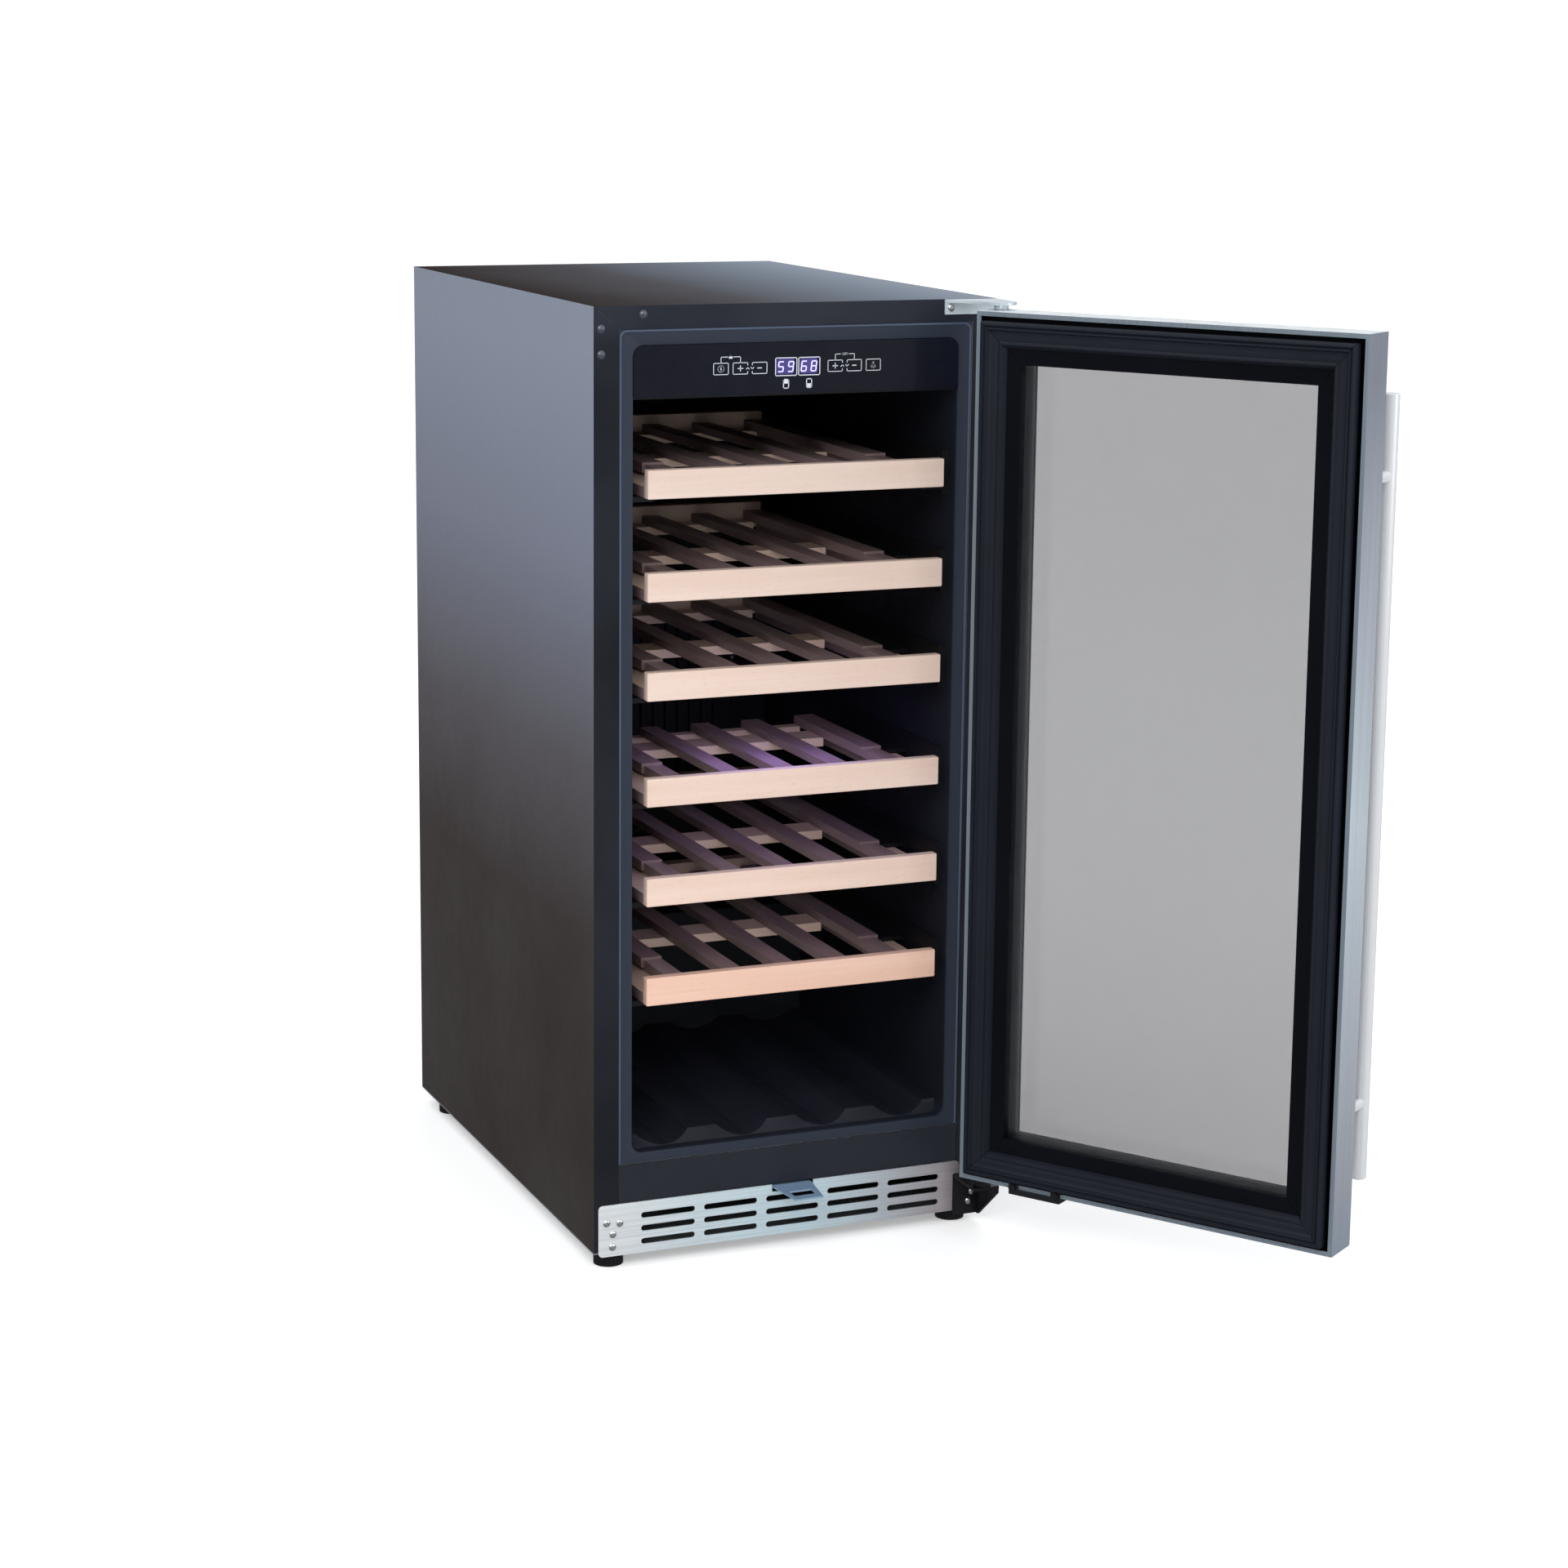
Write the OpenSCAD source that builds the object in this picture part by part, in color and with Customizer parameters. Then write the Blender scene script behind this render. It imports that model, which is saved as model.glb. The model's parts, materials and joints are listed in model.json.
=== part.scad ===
// Under-counter wine cooler, 15 inch class, with an open glass door and beech shelves.
// Millimetres. +Z is up, +X is the hinge side and the front faces -Y. The origin is the
// middle of the cabinet's lower front edge, on its underside; the feet reach below it.
// Door parts are written as if the door were shut, then swung open together.

/* [Cabinet] */
// Width of the cabinet
cab_w = 380; // [376:1:384]
// Depth of the cabinet without the door
cab_d = 531; // [525:1:540]
// Height of the cabinet without its feet
cab_h = 845; // [843:1:850]
// Thickness of the outer steel sheet
skin = 1; // [0.8:0.1:1]
// Width of the front flange at each side
flange_w = 23; // [22:0.5:24]
// Height of the front flange at the top
flange_top = 20; // [18:0.5:21]
// Thickness of the base pan
pan_t = 1.2; // [1:0.1:1.4]

/* [Cavity] */
// Width of the wine cavity
cavity_w = 308; // [306:1:309]
// Height of the cavity floor
cavity_z = 90; // [90:1:90]
// Height of the cavity ceiling
cavity_top = 811; // [811:1:812]
// Depth of the cavity
cavity_d = 478; // [475:1:480]
// Distance from the front to the compressor hump
hump_y = 345; // [345:1:350]
// Height of the hump's top
hump_z = 212; // [212:1:212]
// Wall thickness of the liner
liner_t = 2; // [1.5:0.5:2]
// Corner radius of the cavity
cavity_r = 10; // [8:1:12]
// Radius of the bottle cradles in the floor
cradle_r = 38; // [37:0.5:39]
// Distance between neighbouring cradles
cradle_pitch = 78; // [77:0.5:79]

/* [Door] */
// Width of the door
door_w = 370; // [368:1:372]
// Height of the door
door_h = 792; // [788:1:792]
// Thickness of the door without gasket and handle
door_t = 37.5; // [37.5:0.5:38]
// Height of the door's lower edge
door_z = 46; // [46:0.5:46]
// Distance from the front flange to the door's inner face
door_gap = 9.5; // [9.5:0.1:10]
// Angle that the door stands open
open_angle = 124.1; // [0:0.1:125]
// Width of the steel border round the window
border_w = 43; // [42:1:46]
// Distance of the hinge pin from the middle of the cabinet
pivot_x = 176.5; // [176:0.1:177]
// Position of the hinge pin in front of the flange
pivot_y = -37.4; // [-38:0.1:-37]
// Radius of the hinge pins
pin_r = 4; // [4:0.1:4]

/* [Handle] */
// Radius of the handle bar
handle_r = 7; // [6:0.5:7]
// Height of the bar's lower end
handle_z0 = 90; // [88:1:95]
// Height of the bar's upper end
handle_z1 = 782; // [775:1:785]
// Distance from the door's edge to the bar's axis
handle_in = 16; // [15:1:18]
// Distance from the door's face to the bar's axis
handle_out = 50; // [45:1:55]
// Distance from a bar end to its standoff
handle_leg = 70; // [60:1:80]

/* [Shelves] */
// Heights of the six front rails' upper edges
shelf_z = [703.5, 613.5, 526, 431.5, 341.5, 251];
// Height of a front rail
rail_h = 25.5; // [25:0.5:26]
// Half width of a front rail
rail_x = 141; // [138:1:141]
// Depth of a full shelf behind its rail
shelf_d = 385; // [380:5:400]
// Depth of the short display shelf
short_d = 235; // [220:5:250]
// Number of the short shelf, counted from the top
short_shelf = 4; // [1:1:6]

/* [Base] */
// Height of the kick grille's upper edge
grille_top = 45; // [44:0.5:45]
// Radius of the feet
foot_r = 13.5; // [12:0.5:14]
// Distance from the floor to the cabinet's underside
foot_h = 15; // [14:0.5:16]
// Radius of the foot stems
stem_r = 4; // [4:0.1:4]

/* [Hidden] */
$fn = 48;
eps = 1;
half_w = cab_w / 2;
cavity_x = cavity_w / 2;
inner_x = half_w - skin;
bay_z = 50;
bay_y = 370;
bay_top = 186;
back_y = cab_d - 2;
door_x = door_w / 2;
face_y = -door_gap;
front_y = -door_gap - door_t;
glass_in = 36;
glass_t = 4;
inner_glass_y = -19;
handle_x = -door_x + handle_in;
handle_y = front_y - handle_out;
leg_z = [handle_z0 + handle_leg, handle_z1 - handle_leg];
rail_back = 8;
beam_in = 98;
lock_x = 1.25;
lock_z = door_z + 20;
fan_x = 0;
evap_fan_z = [262, 615];
cond_fan = [-120, 465, 72];
compressor_x = 95;
compressor_y = 452;
fit = 0.05;
clear = 0.3;
plug_points = [[-144.75, 837.5], [-183, 825.7], [-183, 803.9]];
top_screws = [[144.75, 837.5], [183, 825.7], [183, 803.9]];
kick_screws = [[-178.5, 28.5], [-166, 27.4], [-172.6, 17.6], [-173, 5.8]];
low_hinge_screws = [[183, 14], [179.5, 5]];
foot_points = [[-170, 18], [170, 18], [-170, 490], [170, 490]];
screw_head_r = 3.5;
screw_head_h = 1.8;
screw_r = 2;

paint = "#26272c";
black = "#1c1d20";
steel = "#c9cbcc";
zinc = "#a9adb1";
beech = "#e3c7a5";
foam_tint = "#e6dcae";

// ---- Helpers ----

// A box from its lowest to its highest corner
module block(lo, hi) {
  translate(lo) cube(hi - lo);
}

// A rod along X, Y or Z from a point
module rod_x(p, r, len) {
  translate(p) rotate([0, 90, 0]) cylinder(r = r, h = len);
}

module rod_y(p, r, len) {
  translate(p) rotate([-90, 0, 0]) cylinder(r = r, h = len);
}

module rod_z(p, r, len) {
  translate(p) cylinder(r = r, h = len);
}

// A side profile in Y and Z, drawn out along X
module side_prism(points, x0, x1) {
  translate([x0, 0, 0]) rotate([90, 0, 90]) linear_extrude(x1 - x0) polygon(points);
}

// A front outline in X and Z, drawn out along Y
module front_prism(y0, y1) {
  translate([0, y1, 0]) rotate([90, 0, 0]) linear_extrude(y1 - y0) children();
}

// A rectangle with round corners
module round_rect(lo, hi, r) {
  translate([lo.x + r, lo.y]) square([hi.x - lo.x - 2 * r, hi.y - lo.y]);
  translate([lo.x, lo.y + r]) square([hi.x - lo.x, hi.y - lo.y - 2 * r]);
  for (x = [lo.x + r, hi.x - r], y = [lo.y + r, hi.y - r]) translate([x, y]) circle(r);
}

module both_sides() {
  for (side = [0, 1]) mirror([side, 0, 0]) children();
}

// A cross-recess screw whose head faces -Y
module screw(x, z, y, len) {
  translate([x, y, z]) rotate([90, 0, 0]) {
    difference() {
      cylinder(r = screw_head_r, h = screw_head_h);
      for (turn = [20, 110]) translate([0, 0, screw_head_h]) rotate([0, 0, turn])
        cube([4.2, 0.9, 1.6], center = true);
    }
    translate([0, 0, -len]) cylinder(r = screw_r, h = len + 0.1);
  }
}

module screw_holes(points, y0, y1) {
  for (p = points) rod_y([p.x, y0, p.y], screw_r + 0.2, y1 - y0);
}

// The cavity's outline, grown by its wall
module cavity_outline(grow) {
  round_rect([-cavity_x - grow, cavity_z - grow], [cavity_x + grow, cavity_top + grow], cavity_r + grow);
}

// The cavity as a solid, with the hump cut out of its lower back
module cavity(grow, y0) {
  side = [
    [y0, cavity_z - grow], [hump_y + grow, cavity_z - grow], [hump_y + grow, hump_z - grow],
    [cavity_d + grow, hump_z - grow], [cavity_d + grow, cavity_top + grow], [y0, cavity_top + grow]
  ];
  intersection() {
    front_prism(y0, cavity_d + grow) cavity_outline(grow);
    side_prism(side, -half_w, half_w);
  }
}

// ---- Cabinet body ----

module mitre_slit() {
  translate([half_w - flange_w, -eps, cab_h - flange_top])
    rotate([0, -atan2(flange_top, flange_w), 0])
      translate([-2, 0, -0.2]) cube([flange_w + 20, skin + 2 * eps, 0.4]);
}

module outer_shell() {
  color(paint) difference() {
    union() {
      difference() {
        block([-half_w, 0, pan_t], [half_w, cab_d, cab_h]);
        block([-inner_x, -eps, 0], [inner_x, cab_d + eps, cab_h - skin]);
      }
      difference() {
        block([-half_w, 0, pan_t], [half_w, skin, cab_h]);
        block([-half_w + flange_w, -eps, 0], [half_w - flange_w, skin + eps, cab_h - flange_top]);
        both_sides() mitre_slit();
      }
    }
    screw_holes(concat(plug_points, top_screws, kick_screws, low_hinge_screws), -eps, skin + eps);
  }
}

module back_panel() {
  color(zinc) difference() {
    block([-inner_x, back_y, bay_top], [inner_x, back_y + 1, cab_h - skin]);
    for (x = [-150, 150], z = [bay_top + 30, cab_h - 40]) rod_y([x, back_y - eps, z], screw_r + 0.2, 3);
  }
}

module rear_cover() {
  color(black) difference() {
    block([-inner_x + 0.5, back_y, pan_t], [inner_x - 0.5, back_y + 1, bay_top - 0.5]);
    for (col = [0:3], row = [0:6]) front_prism(back_y - eps, back_y + 2)
      round_rect([-100 + col * 62, 24 + row * 18], [-50 + col * 62, 30 + row * 18], 2.9);
    for (x = [-180, 180], z = [20, 165]) rod_y([x, back_y - eps, z], screw_r + 0.2, 3);
    block([-166, back_y - eps, 136], [-134, back_y + 2, 164]);
  }
}

module base_pan() {
  color(zinc) difference() {
    union() {
      block([-half_w, 0, 0], [half_w, cab_d, pan_t]);
      both_sides() block([150, skin, 0], [inner_x, skin + 1.5, grille_top]);
      for (p = foot_points) rod_z([p.x, p.y, 0], 8, 12);
    }
    for (p = foot_points) rod_z([p.x, p.y, -eps], stem_r + fit, 15);
    screw_holes(concat(kick_screws, low_hinge_screws), 0, skin + 3);
    for (i = [0:5]) block([-150, 395 + i * 20, -eps], [-80, 401 + i * 20, 2]);
  }
}

module compressor_bay_plate() {
  y0 = 1.2;
  profile = [
    [y0, bay_z - 1], [bay_y, bay_z - 1], [bay_y, bay_top - 1], [back_y, bay_top - 1],
    [back_y, bay_top], [bay_y - 1, bay_top], [bay_y - 1, bay_z], [y0, bay_z]
  ];
  color(zinc) difference() {
    side_prism(profile, -inner_x, inner_x);
    for (p = through_pipes) rod_z([p.x, p.y, bay_top - 3], p.z + clear, 6);
  }
}

module lower_front_panel() {
  color(paint) union() {
    block([-half_w + flange_w + 0.6, 0, grille_top + 0.5], [half_w - flange_w - 0.6, 1.2, 80.5]);
    block([-160, 0, grille_top + 0.5], [160, 14, grille_top + 1.7]);
  }
}

module inner_liner() {
  ribs = [
    [14, cavity_z - 1], [14, cavity_z + 0.5], [24, cavity_z + 10], [hump_y + 1, cavity_z + 10],
    [hump_y + 1, cavity_z - 1]
  ];
  color(black) union() {
    difference() {
      union() {
        cavity(liner_t, skin);
        block([-cavity_x - 18, skin, 81], [cavity_x + 18, skin + 2, cab_h - flange_top + 5]);
      }
      cavity(0, -eps);
      for (p = through_pipes) rod_z([p.x, p.y, hump_z - 5], p.z + clear, 10);
    }
    intersection() {
      cavity(1, 5);
      difference() {
        side_prism(ribs, -half_w, half_w);
        for (x = [-1.5, -0.5, 0.5, 1.5])
          rod_y([x * cradle_pitch, 0, cavity_z + 0.5 + cradle_r], cradle_r, hump_y + 5);
      }
    }
  }
}

module foam_insulation() {
  profile = [
    [3, bay_z], [bay_y - 1, bay_z], [bay_y - 1, bay_top], [back_y, bay_top],
    [back_y, cab_h - skin], [3, cab_h - skin]
  ];
  color(foam_tint) difference() {
    side_prism(profile, -inner_x, inner_x);
    cavity(liner_t, 0);
    for (p = through_pipes) rod_z([p.x, p.y, bay_top - 3], p.z + clear, 30);
    screw_holes(top_screws, 0, 12);
    for (x = [-150, 150], z = [bay_top + 30, cab_h - 40]) rod_y([x, back_y - 12, z], screw_r + 0.2, 14);
  }
}

module kick_grille() {
  color(steel) difference() {
    front_prism(-1.5, 0) difference() {
      round_rect([-half_w + 4, -3], [half_w - 20, grille_top], 4);
      for (col = [-2:2], row = [0:2]) translate([1.5 + col * 60.6, 7.6 + row * 12.2])
        round_rect([-25.8, -2.7], [25.8, 2.7], 2.65);
      translate([-18.6, grille_top - 7]) square([40.6, 10]);
      translate([163.6, -5]) square([20, 37.6]);
    }
    screw_holes(kick_screws, -3, 1);
  }
}

module cabinet_screws() {
  color(steel) {
    for (p = kick_screws) screw(p.x, p.y, -1.5, 8);
    for (p = low_hinge_screws) screw(p.x, p.y, -2.5, 9);
    for (p = top_screws) screw(p.x, p.y, -2, 9);
    for (x = [-150, 150], z = [bay_top + 30, cab_h - 40])
      translate([x, back_y + 1, z]) rotate([0, 0, 180]) translate([-x, 0, 0]) screw(x, 0, 0, 9);
    for (x = [-180, 180], z = [20, 165])
      translate([x, back_y + 1, z]) rotate([0, 0, 180]) translate([-x, 0, 0]) screw(x, 0, 0, 6);
  }
}

module hole_plugs() {
  color(black) for (p = plug_points) {
    intersection() {
      translate([p.x, 3.3, p.y]) sphere(r = 5);
      rod_y([p.x, -3, p.y], 4.5, 3);
    }
    rod_y([p.x, -0.5, p.y], 2, 3);
  }
}

module top_hinge() {
  color(steel) difference() {
    union() {
      hinge_plate();
      block([139, -2, 831.5], [half_w, 0, cab_h - 2]);
      block([178.4, -2, 797], [half_w, 0, cab_h - 2]);
      rod_z([pivot_x, pivot_y, 828], pin_r, cab_h - 829);
      rod_z([pivot_x, pivot_y, door_z + door_h + clear], 6.5, cab_h - 2 - door_z - door_h - clear);
    }
    screw_holes(top_screws, -3, 1);
  }
}

module hinge_plate() {
  translate([0, 0, cab_h - 2.7]) linear_extrude(2.5) union() {
    polygon([[139, 0], [half_w, 0], [half_w, -30], [pivot_x + 13.5, pivot_y], [pivot_x - 13.5, pivot_y],
      [150, -14], [141, -6]]);
    translate([pivot_x, pivot_y]) circle(13.5);
  }
}

module bottom_hinge() {
  side = [[0, -7.5], [-6, -7.5], [-45, 25], [-45, 32], [0, 32]];
  color(black) difference() {
    union() {
      block([164, -2.5, -7.5], [half_w, 0, 32]);
      block([164, pivot_y - 8, 29.5], [half_w, 0, 32]);
      side_prism(side, half_w - 2.5, half_w);
      rod_z([pivot_x, pivot_y, 30], pin_r, 27);
    }
    screw_holes(low_hinge_screws, -4, 1);
  }
}

module lock_strike() {
  plate = [
    [lock_x - 19, 14], [lock_x + 19, 14], [lock_x + 19, -1.5], [lock_x + 13.5, -42],
    [lock_x - 13.5, -42], [lock_x - 19, -1.5]
  ];
  color(zinc) union() {
    translate([0, 0, 41.7]) linear_extrude(1.6) difference() {
      polygon(plate);
      translate([lock_x - 10.75, -32.5]) square([21.5, 12.5]);
    }
    block([lock_x - 19, 12.4, 42], [lock_x + 19, 14, grille_top + 0.5]);
  }
}

module fascia_outline(inset) {
  intersection() {
    cavity_outline(-inset);
    translate([-half_w, 766]) square([cab_w, 100]);
  }
}

module control_fascia() {
  color("black") front_prism(0, 3) difference() {
    fascia_outline(clear);
    for (x = [-21.5, 0.5]) round_rect([x, 782.5], [x + 18, 796.5], 3);
  }
}

module control_housing() {
  color(black) difference() {
    front_prism(3, 60) fascia_shell(clear);
    front_prism(2, 58) fascia_shell(clear + 2);
    block([-60.3, 27.7, 755], [60.3, 44.3, 767]);
  }
}

module fascia_shell(inset) {
  intersection() {
    cavity_outline(-inset);
    translate([-half_w, 764 + inset]) square([cab_w, 100]);
  }
}

module control_board() {
  color("#5b6bff") union() {
    block([-62, 8, 772], [62, 9.6, 804]);
    block([-24, 3, 780], [20, 8.5, 799]);
    for (x = [-20.5, 1.5]) block([x, 0.8, 783.5], [x + 16, 4, 795.5]);
  }
}

module light_lens() {
  color("white") union() {
    front_prism(28, 44) round_rect([-60, 759], [60, 770], 3);
  }
}

module evaporator_cover() {
  y0 = 430;
  color(black) difference() {
    union() {
      block([-148, y0, hump_z + 1], [148, cavity_d, 700]);
      for (i = [-7:7]) block([i * 13 - 1.5, y0 - 6, 320], [i * 13 + 1.5, y0 + 1, 530]);
    }
    block([-146, y0 + 2, hump_z + 3], [146, cavity_d + eps, 698]);
    for (p = through_pipes) rod_z([p.x, p.y, hump_z - eps], p.z + clear, 6);
    for (z = evap_fan_z) intersection() {
      rod_y([fan_x, y0 - eps, z], 40, 4);
      for (i = [-3:3]) block([-50, y0 - 2, z + i * 11 - 3.5], [50, y0 + 5, z + i * 11 + 3.5]);
    }
    for (x = [-128, 108], i = [0:5]) block([x, y0 - eps, 420 + i * 14], [x + 20, y0 + 3, 425 + i * 14]);
  }
}

// A serpentine tube across X that climbs along Z, with fins
module finned_coil(x0, x1, y, z0, rows, pitch, r, fin_w, fins) {
  for (i = [0:rows - 1]) rod_x([x0, y, z0 + i * pitch], r, x1 - x0);
  for (i = [0:rows - 2]) translate([i % 2 == 0 ? x1 : x0, y, z0 + (i + 0.5) * pitch])
    rotate([90, i % 2 == 0 ? 90 : -90, 0]) u_bend(pitch / 2, r);
  for (i = [1:fins]) block(
    [x0 + i * (x1 - x0) / (fins + 1), y - fin_w / 2, z0 - pitch / 2],
    [x0 + i * (x1 - x0) / (fins + 1) + 0.8, y + fin_w / 2, z0 + (rows - 0.5) * pitch]);
}

module u_bend(bend_r, r) {
  difference() {
    rotate_extrude() translate([bend_r, 0]) circle(r);
    translate([-2 * bend_r, -4 * bend_r, -bend_r]) cube([4 * bend_r, 4 * bend_r, 2 * bend_r]);
  }
}

module evaporator_coil() {
  color(steel) finned_coil(-110, 110, 459, 330, 9, 26, 4, 26, 18);
}

module condenser_coil() {
  color(zinc) finned_coil(-172, -66, 405, 24, 5, 24, 3.5, 34, 14);
}

module fan_frame(p, size, r, y0, y1) {
  difference() {
    block([p.x - size / 2, y0, p.z - size / 2], [p.x + size / 2, y1, p.z + size / 2]);
    rod_y([p.x, y0 - eps, p.z], r, y1 - y0 + 2 * eps);
  }
  for (turn = [45, 135]) translate([p.x, y1 - 1.5, p.z]) rotate([0, turn, 0])
    cube([2 * r + 4, 3, 5], center = true);
  rod_y([p.x, y1 - 8, p.z], 12, 8);
  rod_y([p.x, y1 - 18, p.z], 1.5, 12);
}

module fan_housings() {
  color(black) {
    for (z = evap_fan_z) fan_frame([fan_x, 0, z], 92, 42, 440, 466);
    fan_frame([cond_fan.x, 0, cond_fan.z], 112, 50, cond_fan.y - 15, cond_fan.y + 15);
  }
}

// A fan rotor that faces -Y, on a shaft along Y
module fan_rotor(p, r, y0) {
  blades = 7;
  difference() {
    union() {
      rod_y([p.x, y0, p.z], 14, 12);
      for (i = [0:blades - 1]) translate([p.x, y0 + 6, p.z]) rotate([0, i * 360 / blades, 0])
        rotate([32, 0, 0]) translate([10, -0.8, -11]) cube([r - 10, 1.6, 22]);
    }
    rod_y([p.x, y0 + 3, p.z], 1.5 + fit, 20);
  }
}

module evaporator_fan_upper() {
  color("#35363a") fan_rotor([fan_x, 0, evap_fan_z[1]], 38, 445);
}

module evaporator_fan_lower() {
  color("#35363a") fan_rotor([fan_x, 0, evap_fan_z[0]], 38, 445);
}

module condenser_fan() {
  color("#35363a") fan_rotor(cond_fan, 45, cond_fan.y - 8);
}

module guide_side(top, depth) {
  block([150, 18, top - 35], [cavity_x, depth, top + 4.5]);
  block([148, 18, top - 35], [151, 25, top + 4.5]);
  block([128, 18, top - 30], [151, depth, top - 25.4]);
  block([128, 90, top - 14.6], [151, depth, top - 11]);
}

module shelf_guides() {
  color(black) for (i = [0:5])
    both_sides() guide_side(shelf_z[i], i + 1 == short_shelf ? short_d : shelf_d);
}

module compressor() {
  color("#2a2a2c") difference() {
    union() {
      rod_z([compressor_x, compressor_y, 40], 62, 100);
      translate([compressor_x, compressor_y, 140]) cylinder(r1 = 62, r2 = 40, h = 22);
      translate([compressor_x, compressor_y, 24]) cylinder(r1 = 40, r2 = 62, h = 16);
      block([compressor_x - 62, compressor_y - 50, 20], [compressor_x + 62, compressor_y + 50, 24]);
      block([compressor_x - 80, compressor_y - 22, 60], [compressor_x - 55, compressor_y + 22, 110]);
    }
    for (x = [-55, 55], y = [-43, 43]) rod_z([compressor_x + x, compressor_y + y, 10], 4.6, 20);
    rod_z([compressor_x, compressor_y, -eps], 36, 140);
  }
}

module compressor_grommets() {
  color("#333333") for (x = [-55, 55], y = [-43, 43]) translate([compressor_x + x, compressor_y + y, 0]) {
    rod_z([0, 0, pan_t], 9, 20 - pan_t);
    rod_z([0, 0, 19], 4.5, 8);
  }
}

// Tubes that go down through the hump: x, y and outer radius
through_pipes = [[60, 462, 5], [-120, 472, 4], [-132, 472, 3]];

module drip_tray() {
  color("#d8d8d8") difference() {
    block([35, 400, 168], [155, 505, 182]);
    block([37, 402, 170], [153, 503, 190]);
  }
}

module drain_tube() {
  p = through_pipes[0];
  color("#d8d8d8") difference() {
    union() {
      rod_z([p.x, p.y, 174], p.z, hump_z - 174 + 1);
      rod_z([p.x, p.y, hump_z], p.z + 3, 1);
    }
    rod_z([p.x, p.y, 170], p.z - 1.5, 60);
  }
}

module mains_inlet() {
  color(black) difference() {
    union() {
      block([-165, back_y - 18, 137], [-135, back_y + 1, 163]);
      block([-170, back_y + 1, 132], [-130, back_y + 2, 168]);
    }
    block([-162, back_y - 14, 141], [-138, back_y + 5, 159]);
  }
}

module refrigerant_pipes() {
  color("#b87333") {
    suction = [-120, 472, 152];
    rod_z(suction, 4, 178);
    rod_x(suction, 4, 150);
    translate(suction) sphere(r = 4.6);
    rod_z([30, 472, 116], 4, 36);
    rod_x([30, 472, 116], 4, 4.8);
    for (z = [116, 152]) translate([30, 472, z]) sphere(r = 4.6);
    capillary = [-132, 472, 145];
    rod_z(capillary, 3, 185);
    rod_y([-132, 436, 145], 3, 36);
    for (y = [436, 472]) translate([-132, y, 145]) sphere(r = 3.5);
    rod_z([-132, 436, 110], 3, 35);
    rod_z([-132, 436, 114], 8, 26);
  }
}

module foot(p) {
  color("#17181a") union() {
    difference() {
      rod_z([p.x, p.y, -foot_h], foot_r, 10);
      for (i = [0:23]) translate([p.x, p.y, -foot_h + 2]) rotate([0, 0, i * 15])
        rod_z([foot_r + 0.3, 0, 0], 1, 10);
    }
    rod_z([p.x, p.y, -6], stem_r, 32);
  }
}

module foot_front_left() { foot(foot_points[0]); }
module foot_front_right() { foot(foot_points[1]); }
module foot_rear_left() { foot(foot_points[2]); }
module foot_rear_right() { foot(foot_points[3]); }

// ---- Door, written shut ----

// Swings what it holds to the open position
module at_door() {
  translate([pivot_x, pivot_y, 0]) rotate([0, 0, open_angle]) translate([-pivot_x, -pivot_y, 0]) children();
}

// The door's outline pulled in by an inset, between two depths
module door_block(inset, y0, y1) {
  block([-door_x + inset, y0, door_z + inset], [door_x - inset, y1, door_z + door_h - inset]);
}

module door_ring(in0, in1, y0, y1) {
  difference() {
    door_block(in0, y0, y1);
    door_block(in1, y0 - eps, y1 + eps);
  }
}

// Space that the lock's cam sweeps when it turns down
module cam_space() {
  intersection() {
    rod_y([lock_x, front_y + 18, lock_z], 29, 4.5);
    block([lock_x - 7, front_y, 0], [lock_x + 40, 0, lock_z + 7]);
  }
}

module pin_space(grow) {
  rod_z([pivot_x, pivot_y, door_z - eps], 7 + grow, 13 + eps);
  rod_z([pivot_x, pivot_y, door_z + door_h - 13], 7 + grow, 13 + eps);
}

module door_skin() {
  color(steel) at_door() difference() {
    door_block(0, front_y, face_y);
    door_block(1, front_y + 1, face_y - 1);
    door_block(4, front_y + 5, face_y + eps);
    door_block(border_w, front_y - eps, face_y + eps);
    rod_y([lock_x, front_y - eps, lock_z], 8.1, 3);
    intersection() {
      cam_space();
      block([-door_x, front_y, 0], [door_x, 0, door_z + 2]);
    }
    pin_space(0.1);
    for (z = leg_z) rod_y([handle_x, front_y - eps, z], screw_r + 0.2, 3);
  }
}

module door_inner_frame() {
  color(paint) at_door() difference() {
    union() {
      door_ring(1, 9, -20, -17.5);
      door_ring(8, 45, -20, -10);
    }
    door_ring(10, 43, -21, -12.5);
    door_block(glass_in, -21, inner_glass_y);
  }
}

module door_frame_foam() {
  color(foam_tint) at_door() difference() {
    door_ring(1, glass_in, front_y + 1, -20);
    cam_space();
    rod_y([lock_x, front_y, lock_z], 8.3, 22);
    pin_space(0.3);
    for (z = leg_z) rod_y([handle_x, front_y, z], 4.5, 8);
  }
}

module glass_panes() {
  color("#9aa0a6", 0.4) at_door() {
    door_block(glass_in, front_y + 1, front_y + 1 + glass_t);
    door_block(glass_in, inner_glass_y - glass_t, inner_glass_y);
  }
}

module glass_spacer() {
  color("#222222") at_door() door_ring(glass_in + 1, border_w, front_y + 1 + glass_t, inner_glass_y - glass_t);
}

module door_gasket() {
  color(black) at_door() difference() {
    door_ring(8, 31, -10, -0.6);
    door_ring(15, 32, -4, 0);
    door_ring(10.5, 12.5, -2.4, 0);
    door_ring(21, 24, -6, 0);
  }
}

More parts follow.
